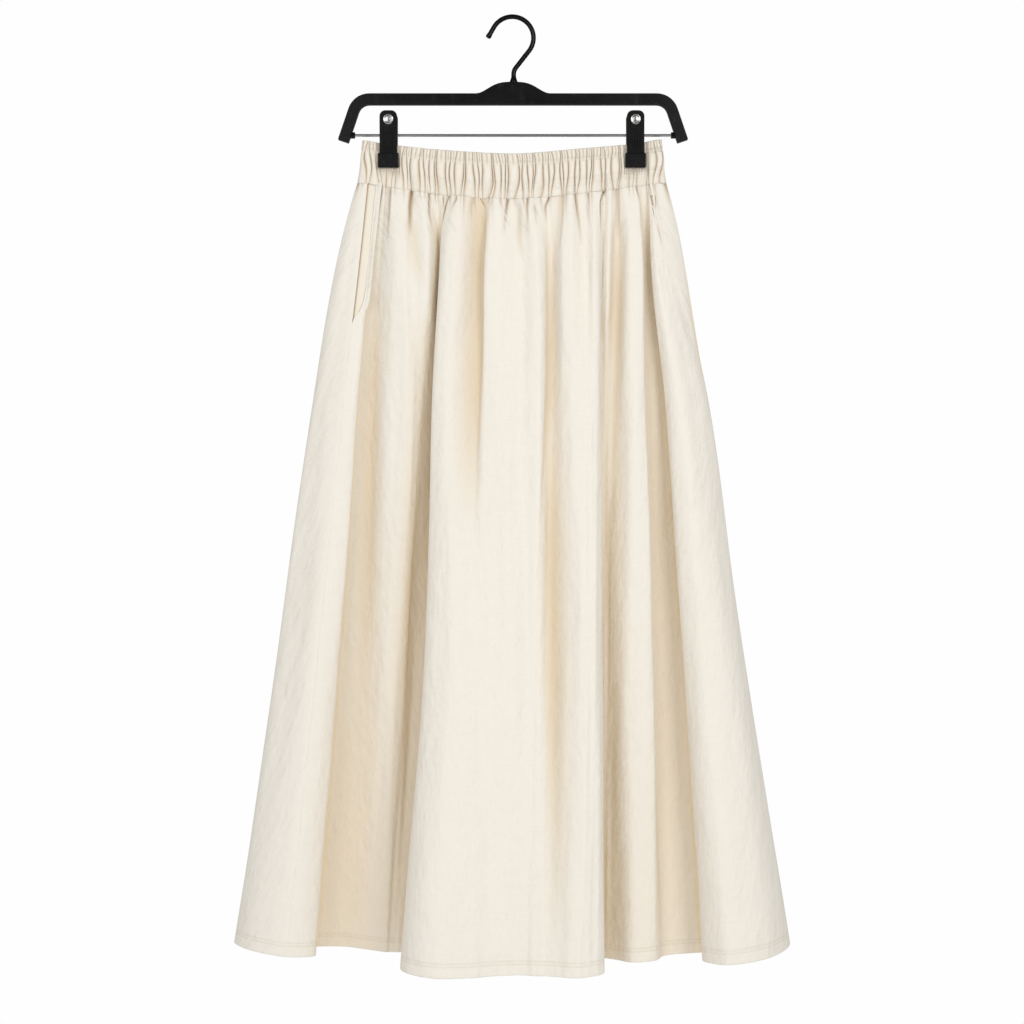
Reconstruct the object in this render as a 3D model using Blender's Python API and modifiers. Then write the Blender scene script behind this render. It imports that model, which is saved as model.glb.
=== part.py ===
"""A long gathered skirt with an elastic waist, held by the two clips of a black hanger.

Metres, +Z up, front towards -Y. The origin is the seat of the hook, where a rail carries it, so
everything hangs below zero. The skirt is one tube of cloth: each row of a fold table is one crest,
trough or folded edge, followed from the waist seam down to the hem, and the cloth runs smoothly
from row to row.
"""

import math
from typing import NamedTuple

import bmesh
import bpy
import numpy as np
from mathutils import Matrix

GAP = 0.0003

# Hanger: the bar, its hump and its arms
BAR_TOP = -0.0817
BAR_HEIGHT = 0.0117
BAR_DEPTH = 0.0094
BAR_ROUNDING = 0.0024
HUMP_RISE = 0.0125
HUMP_HALF_WIDTH = 0.0400
HUMP_FULLNESS = 1.6
ARM_CORNER = 0.1692
ARM_LENGTH = 0.0481
ARM_WIDTH = 0.0118
ARM_FROM_VERTICAL = math.radians(18.7)
ARM_BEND_RADIUS = 0.0180
BOSS_RADIUS = 0.0035
BOSS_INNER_FACE = 0.1720
BOSS_ROOT = 0.1817
BOSS_BORE_DEPTH = 0.0062
CUT_BEYOND = 0.0020

# Hook: a round bar bent to a half circle and cranked back over the stem
HOOK_ROD_RADIUS = 0.0026
HOOK_BEND_RADIUS = 0.0231
HOOK_CENTRE_X = -0.0008
HOOK_TIP_ANGLE = 150.0
HOOK_CRANK_ANGLE = -38.0
HOOK_TIP_LENGTH = 0.0135
HOOK_CRANK_RADIUS = 0.0115
HOOK_STEM_X = 0.0007
HOOK_COLLAR_RADIUS = 0.0042
HOOK_COLLAR_HEIGHT = 0.0065
HOOK_COLLAR_FLARE = 0.0030


class HookTip(NamedTuple):
    """One place along the hook's straight end: its share of the length and of the rod's radius."""

    share: float
    radius: float


HOOK_TIP = (
    HookTip(1.00, 0.45),
    HookTip(0.96, 0.95),
    HookTip(0.87, 1.16),
    HookTip(0.74, 1.14),
    HookTip(0.58, 1.00),
    HookTip(0.25, 1.00),
)

# Rod and clips
ROD_RADIUS = 0.0015
ROD_Z = -0.1267
CLIP_X = (-0.1353, 0.1330)
JAW_TOP = 0.0260
JAW_BOTTOM = -0.0361
JAW_WIDTH = 0.0190
JAW_THICKNESS = 0.0030
JAW_CORNER = 0.0062
JAW_TILT = math.radians(3.0)
JAW_INNER_Y = -0.0056
FOOT_WIDTH = 0.0226
FOOT_HEIGHT = 0.0158
FOOT_THICKNESS = 0.0048
FOOT_INNER_Y = -0.0036
FOOT_ROUNDING = 0.0009
GROOVE_COUNT = 4
GROOVE_PITCH = 0.0030
GROOVE_WIDTH = 0.0015
GROOVE_DEPTH = 0.0010
GROOVE_TOP = 0.0027
GROOVE_BOTTOM = -0.0192
SADDLE_WIDTH = 0.0100
SADDLE_HEIGHT = 0.0070
SADDLE_SINK = 0.0010
SADDLE_INNER_Y = -0.0004
RIVET_RADIUS = 0.0058
RIVET_Z = 0.0164
RIVET_RISE = 0.0017
RIVET_TURNS = 18
ROUND_SIDES = 16


class RivetRing(NamedTuple):
    """One ring of the rivet head, from the rim in: its share of the radius and of the rise."""

    radius: float
    rise: float


RIVET_RINGS = (
    RivetRing(0.94, 0.00),
    RivetRing(1.00, 0.30),
    RivetRing(0.93, 0.80),
    RivetRing(0.78, 1.00),
    RivetRing(0.60, 0.72),
    RivetRing(0.35, 0.85),
)
RIVET_MIDDLE_RISE = 0.92

# Cloth
PANEL_WALL = 0.0013
HEM_WALL = 0.0026
HEM_TURN_UP = 0.0110
BAND_WALL = 0.0021
CLIPPED_WALL = 0.0023
GATHER_RISE = 0.0019
GATHERS_EACH_SIDE = 57
GATHER_LEAST = 0.52
CLIP_MARGIN = 0.0010
CLIP_EASE = 0.0060
PARTING = 3
FACING_WALL = 0.0010
FACING_SETBACK = 0.0019


class BandRow(NamedTuple):
    """One place along the inner face of half the waistband: x, half depth and height, at each edge."""

    place: str
    x_top: float
    x_seam: float
    depth_top: float
    depth_seam: float
    z_top: float
    z_seam: float


WAISTBAND = (
    BandRow("left end", -0.1642, -0.1674, 0.0000, 0.0000, -0.1335, -0.1777),
    BandRow("left loop", -0.1590, -0.1600, 0.0036, 0.0050, -0.1342, -0.1787),
    BandRow("left clip, outer", -0.1478, -0.1480, 0.0004, 0.0028, -0.1357, -0.1810),
    BandRow("left clip, inner", -0.1246, -0.1246, 0.0004, 0.0036, -0.1389, -0.1846),
    BandRow("left of middle", -0.0700, -0.0700, 0.0098, 0.0126, -0.1460, -0.1929),
    BandRow("middle", 0.0000, 0.0000, 0.0136, 0.0158, -0.1501, -0.1975),
    BandRow("right of middle", 0.0700, 0.0700, 0.0098, 0.0126, -0.1443, -0.1916),
    BandRow("right clip, inner", 0.1218, 0.1218, 0.0004, 0.0036, -0.1380, -0.1840),
    BandRow("right clip, outer", 0.1450, 0.1450, 0.0004, 0.0028, -0.1349, -0.1806),
    BandRow("right loop", 0.1568, 0.1580, 0.0036, 0.0050, -0.1334, -0.1788),
    BandRow("right end", 0.1619, 0.1651, 0.0000, 0.0000, -0.1328, -0.1778),
)


class BandLine(NamedTuple):
    """One line along the waistband: its share of the height, its pull outwards and its gathers."""

    place: str
    share: float
    pull: float
    gather: float


BAND_LINES = (
    BandLine("top edge", 0.00, 0.0000, 0.55),
    BandLine("header", 0.10, 0.0003, 0.90),
    BandLine("header stitching", 0.215, -0.0007, 0.35),
    BandLine("casing, upper", 0.30, 0.0003, 0.95),
    BandLine("casing, middle", 0.55, 0.0008, 1.00),
    BandLine("casing, lower", 0.78, 0.0003, 0.90),
    BandLine("casing stitching", 0.86, -0.0006, 0.40),
    BandLine("seam", 1.00, 0.0001, 0.55),
)


class Fold(NamedTuple):
    """One crest, trough or folded edge: x and y of the outer face at five heights."""

    place: str
    x_seam: float
    x_hip: float
    x_thigh: float
    x_knee: float
    x_hem: float
    y_seam: float
    y_hip: float
    y_thigh: float
    y_knee: float
    y_hem: float


# Heights of the three middle columns of the fold tables. The seam and the hem are not level.
Z_HIP = -0.2514
Z_THIGH = -0.4147
Z_KNEE = -0.6325
Z_HEM_MIDDLE = -1.0220
HEM_RISE_AT_SIDES = 0.0165
HEM_HALF_WIDTH = 0.3000

FRONT_FOLDS = (
    Fold("left side seam", -0.158, -0.165, -0.183, -0.204, -0.242, -0.006, -0.012, -0.020, -0.030, -0.043),
    Fold("left panel lip", -0.147, -0.154, -0.168, -0.183, -0.213, -0.008, -0.011, -0.016, -0.022, -0.026),
    Fold("left recess foot", -0.144, -0.155, -0.171, -0.189, -0.223, -0.006, -0.005, -0.002, 0.004, 0.012),
    Fold("left recess floor", -0.139, -0.145, -0.158, -0.167, -0.185, -0.004, -0.002, 0.001, 0.009, 0.028),
    Fold("left soft crest", -0.132, -0.131, -0.131, -0.139, -0.155, -0.007, -0.016, -0.017, -0.003, 0.024),
    Fold("left soft middle", -0.120, -0.118, -0.113, -0.123, -0.140, -0.009, -0.019, -0.022, -0.008, 0.018),
    Fold("left short dip", -0.110, -0.106, -0.104, -0.112, -0.133, -0.007, -0.015, -0.018, -0.004, 0.017),
    Fold("left soft edge", -0.101, -0.091, -0.094, -0.106, -0.126, -0.013, -0.018, -0.008, 0.007, 0.016),
    Fold("deep fold bottom", -0.084, -0.080, -0.080, -0.085, -0.109, -0.008, 0.003, 0.008, 0.013, 0.014),
    Fold("middle panel left lip", -0.072, -0.077, -0.086, -0.091, -0.119, -0.009, -0.015, -0.026, -0.042, -0.07),
    Fold("middle crest 1", -0.060, -0.062, -0.071, -0.069, -0.084, -0.018, -0.024, -0.036, -0.058, -0.101),
    Fold("middle dip 1", -0.045, -0.040, -0.046, -0.041, -0.045, -0.014, -0.014, -0.029, -0.056, -0.096),
    Fold("middle edge 1", -0.030, -0.029, -0.029, -0.024, -0.022, -0.015, -0.023, -0.036, -0.057, -0.086),
    Fold("middle crest 2", -0.018, -0.014, -0.011, -0.007, -0.005, -0.021, -0.026, -0.039, -0.058, -0.082),
    Fold("middle dip 2", -0.005, 0.007, 0.012, 0.012, 0.013, -0.015, -0.018, -0.035, -0.052, -0.082),
    Fold("middle crest 3", 0.012, 0.026, 0.027, 0.024, 0.024, -0.021, -0.025, -0.038, -0.050, -0.085),
    Fold("middle dip 3", 0.037, 0.046, 0.042, 0.038, 0.033, -0.014, -0.012, -0.027, -0.045, -0.086),
    Fold("middle edge 3", 0.054, 0.053, 0.052, 0.055, 0.051, -0.015, -0.024, -0.040, -0.058, -0.096),
    Fold("middle crest 4", 0.062, 0.061, 0.065, 0.071, 0.068, -0.019, -0.027, -0.043, -0.064, -0.099),
    Fold("middle dip 4", 0.070, 0.077, 0.078, 0.081, 0.080, -0.012, -0.020, -0.039, -0.059, -0.092),
    Fold("middle crest 5", 0.088, 0.088, 0.088, 0.088, 0.089, -0.015, -0.024, -0.036, -0.055, -0.083),
    Fold("middle panel right lip", 0.096, 0.095, 0.095, 0.095, 0.096, -0.010, -0.018, -0.028, -0.043, -0.07),
    Fold("right fold foot", 0.099, 0.097, 0.092, 0.090, 0.089, -0.008, -0.012, -0.012, -0.011, -0.007),
    Fold("right short crest", 0.105, 0.103, 0.100, 0.100, 0.101, -0.012, -0.017, -0.010, -0.009, -0.003),
    Fold("right fold bottom", 0.112, 0.114, 0.110, 0.108, 0.110, -0.008, -0.007, -0.008, -0.012, -0.010),
    Fold("right ridge", 0.124, 0.129, 0.131, 0.133, 0.132, -0.011, -0.022, -0.030, -0.038, -0.036),
    Fold("right ridge lip", 0.135, 0.139, 0.142, 0.148, 0.151, -0.008, -0.016, -0.022, -0.028, -0.026),
    Fold("right recess foot", 0.138, 0.138, 0.141, 0.149, 0.162, -0.006, -0.004, -0.004, -0.008, -0.012),
    Fold("right recess floor", 0.142, 0.145, 0.155, 0.166, 0.182, -0.004, 0.000, 0.003, -0.001, -0.006),
    Fold("right recess, hidden", 0.145, 0.153, 0.171, 0.188, 0.214, -0.005, -0.001, 0.001, -0.003, -0.012),
    Fold("right panel lip", 0.1470, 0.148, 0.164, 0.179, 0.202, -0.007, -0.013, -0.020, -0.030, -0.048),
    Fold("right panel crest", 0.1488, 0.1535, 0.177, 0.197, 0.226, -0.0085, -0.0165, -0.030, -0.047, -0.075),
    Fold("right panel side", 0.1505, 0.159, 0.197, 0.224, 0.272, -0.008, -0.016, -0.020, -0.036, -0.060),
)

BACK_FOLDS = (
    Fold("right side seam", 0.1525, 0.1645, 0.2125, 0.2425, 0.3005, -0.0068, -0.0135, 0.002, 0.000, -0.008),
    Fold("right side", 0.1677, 0.1847, 0.2110, 0.2395, 0.2965, 0.000, 0.002, 0.012, 0.016, 0.020),
    Fold("right back crest", 0.150, 0.164, 0.186, 0.214, 0.262, 0.008, 0.017, 0.030, 0.044, 0.068),
    Fold("right back soft", 0.134, 0.147, 0.166, 0.190, 0.232, 0.007, 0.013, 0.026, 0.038, 0.062),
    Fold("right back lip", 0.120, 0.131, 0.148, 0.168, 0.205, 0.011, 0.018, 0.030, 0.046, 0.072),
    Fold("right back foot", 0.121, 0.132, 0.151, 0.174, 0.214, 0.009, 0.009, 0.012, 0.018, 0.030),
    Fold("right back floor", 0.109, 0.119, 0.134, 0.154, 0.186, 0.008, 0.008, 0.010, 0.016, 0.028),
    Fold("right back ridge", 0.090, 0.098, 0.110, 0.125, 0.152, 0.013, 0.021, 0.030, 0.044, 0.068),
    Fold("right back ridge side", 0.078, 0.084, 0.094, 0.106, 0.129, 0.011, 0.016, 0.024, 0.036, 0.056),
    Fold("back fold bottom, right", 0.062, 0.066, 0.072, 0.082, 0.100, 0.010, 0.010, 0.012, 0.018, 0.030),
    Fold("back middle foot", 0.052, 0.055, 0.062, 0.068, 0.082, 0.012, 0.012, 0.014, 0.022, 0.032),
    Fold("back middle, right lip", 0.050, 0.053, 0.063, 0.072, 0.092, 0.016, 0.021, 0.032, 0.050, 0.078),
    Fold("back middle crest 1", 0.036, 0.038, 0.042, 0.050, 0.062, 0.020, 0.026, 0.039, 0.062, 0.100),
    Fold("back middle dip 1", 0.014, 0.014, 0.016, 0.020, 0.024, 0.014, 0.017, 0.031, 0.052, 0.086),
    Fold("back middle crest 2", -0.006, -0.008, -0.010, -0.012, -0.012, 0.021, 0.027, 0.040, 0.061, 0.096),
    Fold("back middle dip 2", -0.026, -0.029, -0.034, -0.040, -0.046, 0.014, 0.016, 0.032, 0.054, 0.088),
    Fold("back middle, left lip", -0.042, -0.047, -0.056, -0.065, -0.080, 0.017, 0.022, 0.036, 0.058, 0.091),
    Fold("back left foot", -0.044, -0.047, -0.052, -0.059, -0.071, 0.012, 0.013, 0.020, 0.028, 0.044),
    Fold("back left floor", -0.056, -0.060, -0.070, -0.080, -0.098, 0.011, 0.012, 0.019, 0.027, 0.043),
    Fold("back left ridge", -0.076, -0.085, -0.097, -0.112, -0.136, 0.015, 0.023, 0.036, 0.052, 0.080),
    Fold("back left ridge lip", -0.089, -0.098, -0.112, -0.128, -0.158, 0.011, 0.018, 0.028, 0.044, 0.072),
    Fold("back left fold foot", -0.092, -0.100, -0.113, -0.130, -0.160, 0.009, 0.011, 0.016, 0.028, 0.053),
    Fold("back left fold floor", -0.104, -0.114, -0.131, -0.150, -0.182, 0.008, 0.009, 0.014, 0.026, 0.050),
    Fold("back left, hidden", -0.117, -0.128, -0.147, -0.170, -0.207, 0.009, 0.010, 0.015, 0.029, 0.053),
    Fold("back left lip", -0.116, -0.126, -0.143, -0.163, -0.198, 0.010, 0.017, 0.028, 0.046, 0.078),
    Fold("back left crest", -0.132, -0.147, -0.168, -0.194, -0.238, 0.008, 0.020, 0.034, 0.054, 0.084),
    Fold("back left side", -0.154, -0.170, -0.195, -0.224, -0.275, 0.007, 0.013, 0.022, 0.034, 0.052),
    Fold("left side", -0.1701, -0.1891, -0.218, -0.2485, -0.304, 0.000, 0.002, 0.002, 0.002, 0.003),
    Fold("left side, front", -0.166, -0.178, -0.202, -0.228, -0.282, -0.004, -0.009, -0.013, -0.018, -0.027),
)

# Shares of the drop from waist seam to hem at which a panel has a row of points
DROPS = (0.0, 0.022, 0.055, 0.10, 0.17, 0.26, 0.38, 0.53, 0.69, 0.85)
HEM_STEP = 0.0009
FRONT_COLUMNS = 70
BACK_COLUMNS = 54
SEAM_COLUMN = 0.05
# A column costs this much length or this much turning, read at these shares of the drop
COLUMN_LENGTH = 0.030
COLUMN_TURN = math.radians(28)
COLUMN_LEVELS = (0.15, 0.55, 1.0)
READINGS_EACH_FOLD = 12

# The open mouth of the left pocket: where the front panel's edge lies, as a share of the way from
# the side seam to the left panel lip, at each height
POCKET_EDGE_Z = (-0.1800, -0.2200, -0.2600, -0.3000, -0.3200, -0.3290)
POCKET_EDGE_SHARE = (0.86, 0.80, 0.86, 0.78, 0.40, 0.00)
MOUTH_REACH = 2.5
FACING_DROPS = (0.004, 0.03, 0.06, 0.09, 0.12, 0.15, 0.175)
FACING_COLUMNS = 6
FACING_LEAST_SHARE = 0.30
FACING_UNDERLAP = 0.35
FACING_TUCK = 0.03

BLACK_PLASTIC = ((0.012, 0.012, 0.013, 1.0), 0.38, 0.0)
STEEL = ((0.62, 0.62, 0.60, 1.0), 0.28, 1.0)
CREAM_COTTON = ((0.86, 0.80, 0.66, 1.0), 0.88, 0.0)


def smooth(knots, values, at):
    """The value at each place of a cubic that runs through the knots and never overshoots them."""
    knots = np.asarray(knots, float)
    values = np.asarray(values, float)
    at = np.clip(np.asarray(at, float), knots[0], knots[-1])
    step = np.diff(knots)
    slope = np.diff(values) / step
    tangent = np.zeros(len(knots))
    tangent[0] = slope[0]
    tangent[-1] = slope[-1]
    same_way = slope[:-1] * slope[1:] > 0
    weight_a = 2 * step[1:] + step[:-1]
    weight_b = step[1:] + 2 * step[:-1]
    with np.errstate(divide="ignore", invalid="ignore"):
        harmonic = (weight_a + weight_b) / (weight_a / slope[:-1] + weight_b / slope[1:])
    tangent[1:-1] = np.where(same_way, harmonic, 0.0)
    i = np.clip(np.searchsorted(knots, at, side="right") - 1, 0, len(step) - 1)
    t = (at - knots[i]) / step[i]
    return (
        (1 + 2 * t) * (1 - t) ** 2 * values[i]
        + t * (1 - t) ** 2 * step[i] * tangent[i]
        + t * t * (3 - 2 * t) * values[i + 1]
        + t * t * (t - 1) * step[i] * tangent[i + 1]
    )


def material(name, finish):
    """A plain material from a colour, a roughness and a metallic value."""
    colour, roughness, metallic = finish
    made = bpy.data.materials.new(name)
    made.use_nodes = True
    shader = made.node_tree.nodes["Principled BSDF"]
    shader.inputs["Base Color"].default_value = colour
    shader.inputs["Roughness"].default_value = roughness
    shader.inputs["Metallic"].default_value = metallic
    made.diffuse_color = colour
    return made


def mesh_object(name, points, faces, finish, collection):
    """An object of a mesh given by its points and faces, shaded smooth."""
    mesh = bpy.data.meshes.new(name)
    mesh.from_pydata([tuple(p) for p in points], [], faces)
    mesh.materials.append(finish)
    mesh.shade_smooth()
    made = bpy.data.objects.new(name, mesh)
    collection.objects.link(made)
    return made


def cutter(made, cutters):
    """Moves an object to the cutters' collection, out of the render."""
    for home in list(made.users_collection):
        home.objects.unlink(made)
    cutters.objects.link(made)
    made.hide_render = True
    made.display_type = "WIRE"
    return made


def box(name, low, high):
    """A box between two corners, as a free object of the scene."""
    centre = [(a + b) / 2 for a, b in zip(low, high)]
    bpy.ops.mesh.primitive_cube_add(size=1, location=centre)
    made = bpy.context.object
    made.name = name
    made.data.transform(Matrix.Diagonal([b - a for a, b in zip(low, high)] + [1]))
    return made


def cylinder_along_x(name, radius, x_from, x_to, z):
    """A round bar along X, as a free object of the scene."""
    bpy.ops.mesh.primitive_cylinder_add(
        vertices=ROUND_SIDES,
        radius=radius,
        depth=x_to - x_from,
        location=((x_from + x_to) / 2, 0, z),
        rotation=(0, math.pi / 2, 0),
    )
    made = bpy.context.object
    made.name = name
    return made


def into(made, collection, finish=None):
    """Moves an object into a collection and gives it its material."""
    for home in list(made.users_collection):
        home.objects.unlink(made)
    collection.objects.link(made)
    if finish:
        made.data.materials.clear()
        made.data.materials.append(finish)
    return made


def join_or_cut(target, other, operation):
    """Adds a Boolean modifier to an object."""
    modifier = target.modifiers.new(operation.lower() + " " + other.name, "BOOLEAN")
    modifier.operation = operation
    modifier.solver = "EXACT"
    modifier.object = other


def extruded_outline(name, outline, depth, finish, collection):
    """A plate between two faces at y = +-depth/2 whose outline lies in the XZ plane."""
    curve = bpy.data.curves.new(name, "CURVE")
    curve.dimensions = "2D"
    curve.fill_mode = "BOTH"
    curve.extrude = depth / 2
    spline = curve.splines.new("POLY")
    spline.points.add(len(outline) - 1)
    for point, (x, z) in zip(spline.points, outline):
        point.co = (x, z, 0, 1)
    spline.use_cyclic_u = True
    flat = bpy.data.objects.new(name + " outline", curve)
    bpy.context.scene.collection.objects.link(flat)
    flat.rotation_euler = (math.pi / 2, 0, 0)
    bpy.context.view_layer.update()
    graph = bpy.context.evaluated_depsgraph_get()
    mesh = bpy.data.meshes.new_from_object(flat.evaluated_get(graph))
    mesh.transform(flat.matrix_world)
    work = bmesh.new()
    work.from_mesh(mesh)
    bmesh.ops.remove_doubles(work, verts=work.verts, dist=0.00001)
    bmesh.ops.recalc_face_normals(work, faces=work.faces)
    work.to_mesh(mesh)
    work.free()
    bpy.data.objects.remove(flat)
    bpy.data.curves.remove(curve)
    made = bpy.data.objects.new(name, mesh)
    mesh.name = name
    mesh.materials.clear()
    mesh.materials.append(finish)
    collection.objects.link(made)
    return made


def bevel(made, width, segments, angle=math.radians(50)):
    """Rounds the sharp edges of an object."""
    modifier = made.modifiers.new("rounded edges", "BEVEL")
    modifier.width = width
    modifier.segments = segments
    modifier.limit_method = "ANGLE"
    modifier.angle_limit = angle
    modifier.harden_normals = False


def arc(centre, radius, start, end, steps):
    """Points on an arc in the XZ plane, with angles in degrees from +X towards +Z."""
    angles = np.radians(np.linspace(start, end, steps + 1))
    return [(centre[0] + radius * math.cos(a), centre[1] + radius * math.sin(a)) for a in angles]


def bar_outline():
    """The bar's outline in the XZ plane, clockwise from the middle of the hump."""
    middle_z = BAR_TOP - BAR_HEIGHT / 2
    turn = 90 - math.degrees(ARM_FROM_VERTICAL)
    tangent = ARM_BEND_RADIUS * math.tan(math.radians(turn) / 2)
    bend = (ARM_CORNER - tangent, middle_z - ARM_BEND_RADIUS)
    down = (math.sin(ARM_FROM_VERTICAL), -math.cos(ARM_FROM_VERTICAL))
    across = (math.cos(ARM_FROM_VERTICAL), math.sin(ARM_FROM_VERTICAL))
    end = (ARM_CORNER + ARM_LENGTH * down[0], middle_z + ARM_LENGTH * down[1])
    hump = [
        (HUMP_HALF_WIDTH * share, BAR_TOP + HUMP_RISE * (1 + math.cos(math.pi * share**HUMP_FULLNESS)) / 2)
        for share in np.linspace(0, 1, 11)
    ]
    outer = arc(bend, ARM_BEND_RADIUS + BAR_HEIGHT / 2, 90, 90 - turn, 7)
    inner = arc(bend, ARM_BEND_RADIUS - BAR_HEIGHT / 2, 90 - turn, 90, 5)
    tip = [
        (end[0] + side * across[0] * ARM_WIDTH / 2, end[1] + side * across[1] * ARM_WIDTH / 2)
        for side in (1, -1)
    ]
    half = hump + outer + tip + inner
    other = [(-x, z) for x, z in reversed(half) if x > 1e-6]
    return half + other


def build_bar(parts, cutters, finish):
    """The moulded bar with its arms, and the bosses that take the rod."""
    bar = extruded_outline("hanger_bar", bar_outline(), BAR_DEPTH, finish, parts)
    bevel(bar, BAR_ROUNDING, 3)
    for side in (-1, 1):
        near, far = sorted((side * BOSS_INNER_FACE, side * BOSS_ROOT))
        boss = cylinder_along_x("boss", BOSS_RADIUS, near, far, ROD_Z)
        join_or_cut(bar, cutter(boss, cutters), "UNION")
    for side in (-1, 1):
        near, far = sorted(
            (side * (BOSS_INNER_FACE - CUT_BEYOND), side * (BOSS_INNER_FACE + BOSS_BORE_DEPTH))
        )
        bore = cylinder_along_x("rod bore", ROD_RADIUS + GAP, near, far, ROD_Z)
        join_or_cut(bar, cutter(bore, cutters), "DIFFERENCE")
    bar.data.shade_smooth()
    bar.data.set_sharp_from_angle(angle=math.radians(40))


def hook_route():
    """The hook's centre line from its tip to its collar, with the rod's radius at each point."""
    centre = (HOOK_CENTRE_X, -HOOK_BEND_RADIUS + HOOK_ROD_RADIUS)
    round_part = arc(centre, HOOK_BEND_RADIUS, HOOK_TIP_ANGLE, HOOK_CRANK_ANGLE, 26)
    start = math.radians(HOOK_TIP_ANGLE)
    back = (-math.sin(start), math.cos(start))
    tip = [
        (
            round_part[0][0] + back[0] * HOOK_TIP_LENGTH * place.share,
            round_part[0][1] + back[1] * HOOK_TIP_LENGTH * place.share,
        )
        for place in HOOK_TIP
    ]
    end = round_part[-1]
    heading = math.radians(HOOK_CRANK_ANGLE - 90)
    way = (math.cos(heading), math.sin(heading))
    turn = math.radians(-HOOK_CRANK_ANGLE)
    # The crank's second bend ends on the stem, so its start is set back from the stem by this much
    aside = HOOK_CRANK_RADIUS * (1 - math.cos(turn))
    run = (end[0] - HOOK_STEM_X - aside) / -way[0]
    corner = (end[0] + way[0] * run, end[1] + way[1] * run)
    bend_centre = (HOOK_STEM_X + HOOK_CRANK_RADIUS, corner[1] - HOOK_CRANK_RADIUS * math.sin(turn))
    crank = arc(bend_centre, HOOK_CRANK_RADIUS, 180 + HOOK_CRANK_ANGLE, 180, 6)
    foot = BAR_TOP + HUMP_RISE + GAP
    stem = [(HOOK_STEM_X, foot + rise) for rise in (HOOK_COLLAR_HEIGHT, HOOK_COLLAR_FLARE, 0.0)]
    collar = HOOK_COLLAR_RADIUS / HOOK_ROD_RADIUS
    plain = [1.0] * (len(round_part) + len(crank) + 1)
    radii = [place.radius for place in HOOK_TIP] + plain + [(1 + collar) / 2, collar]
    return tip + round_part + crank + stem, radii


def build_hook(parts, finish):
    """The bent hook, a round bar whose collar stands on the hump."""
    route, radii = hook_route()
    curve = bpy.data.curves.new("hanger_hook", "CURVE")
    curve.dimensions = "3D"
    curve.bevel_depth = HOOK_ROD_RADIUS
    curve.bevel_resolution = 2
    curve.use_fill_caps = True
    spline = curve.splines.new("POLY")
    spline.points.add(len(route) - 1)
    for point, (x, z), radius in zip(spline.points, route, radii):
        point.co = (x, 0, z, 1)
        point.radius = radius
    curve.materials.append(finish)
    hook = bpy.data.objects.new("hanger_hook", curve)
    parts.objects.link(hook)


def build_rod(parts, finish):
    """The steel rod that the clips hang on, let into the bosses at both ends."""
    reach = BOSS_INNER_FACE + BOSS_BORE_DEPTH - GAP
    rod = cylinder_along_x("hanger_rod", ROD_RADIUS, -reach, reach, ROD_Z)
    into(rod, parts, finish)
    rod.data.shade_smooth()
    rod.data.set_sharp_from_angle(angle=math.radians(60))


def jaw_outline():
    """The jaw's leg seen from the front, clockwise from its lower left corner, from the rod's axis."""
    half = JAW_WIDTH / 2
    low = JAW_BOTTOM + FOOT_HEIGHT * 0.5
    corner_z = JAW_TOP - JAW_CORNER
    left = arc((-half + JAW_CORNER, corner_z), JAW_CORNER, 180, 90, 5)
    right = arc((half - JAW_CORNER, corner_z), JAW_CORNER, 90, 0, 5)
    return [(-half, low)] + left + right + [(half, low)]


def jaw_mesh(finish, cutters):
    """One jaw as a mesh: leg, fluted front, grip foot and the saddle that rides on the rod."""
    loose = bpy.context.scene.collection
    leg = extruded_outline("jaw leg", jaw_outline(), JAW_THICKNESS, finish, loose)
    tilt = Matrix.Rotation(JAW_TILT, 4, "X")
    leg.data.transform(Matrix.Translation((0, JAW_INNER_Y - JAW_THICKNESS / 2, 0)))
    grooves = []
    for i in range(GROOVE_COUNT):
        x = (i - (GROOVE_COUNT - 1) / 2) * GROOVE_PITCH
        face = JAW_INNER_Y - JAW_THICKNESS
        groove = box(
            "flute",
            (x - GROOVE_WIDTH / 2, face - CUT_BEYOND, GROOVE_BOTTOM),
            (x + GROOVE_WIDTH / 2, face + GROOVE_DEPTH, GROOVE_TOP),
        )
        grooves.append(groove)
    saddle = box(
        "saddle",
        (-SADDLE_WIDTH / 2, JAW_INNER_Y - SADDLE_SINK, -SADDLE_HEIGHT / 2),
        (SADDLE_WIDTH / 2, SADDLE_INNER_Y, SADDLE_HEIGHT / 2),
    )
    foot = box(
        "foot",
        (-FOOT_WIDTH / 2, FOOT_INNER_Y - FOOT_THICKNESS, JAW_BOTTOM),
        (FOOT_WIDTH / 2, FOOT_INNER_Y, JAW_BOTTOM + FOOT_HEIGHT),
    )
    bevel(foot, FOOT_ROUNDING, 2)
    notch = cylinder_along_x("rod notch", ROD_RADIUS + GAP, -SADDLE_WIDTH, SADDLE_WIDTH, 0)
    bpy.context.view_layer.update()
    for piece in [leg] + grooves:
        piece.data.transform(tilt @ piece.matrix_world)
        piece.matrix_world = Matrix.Identity(4)
    for groove in grooves:
        join_or_cut(leg, cutter(groove, cutters), "DIFFERENCE")
    join_or_cut(leg, cutter(foot, cutters), "UNION")
    join_or_cut(leg, cutter(saddle, cutters), "UNION")
    join_or_cut(leg, cutter(notch, cutters), "DIFFERENCE")
    bpy.context.view_layer.update()
    graph = bpy.context.evaluated_depsgraph_get()
    mesh = bpy.data.meshes.new_from_object(leg.evaluated_get(graph))
    mesh.name = "jaw"
    bpy.data.objects.remove(leg)
    mesh.shade_smooth()
    mesh.set_sharp_from_angle(angle=math.radians(35))
    return mesh


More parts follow.
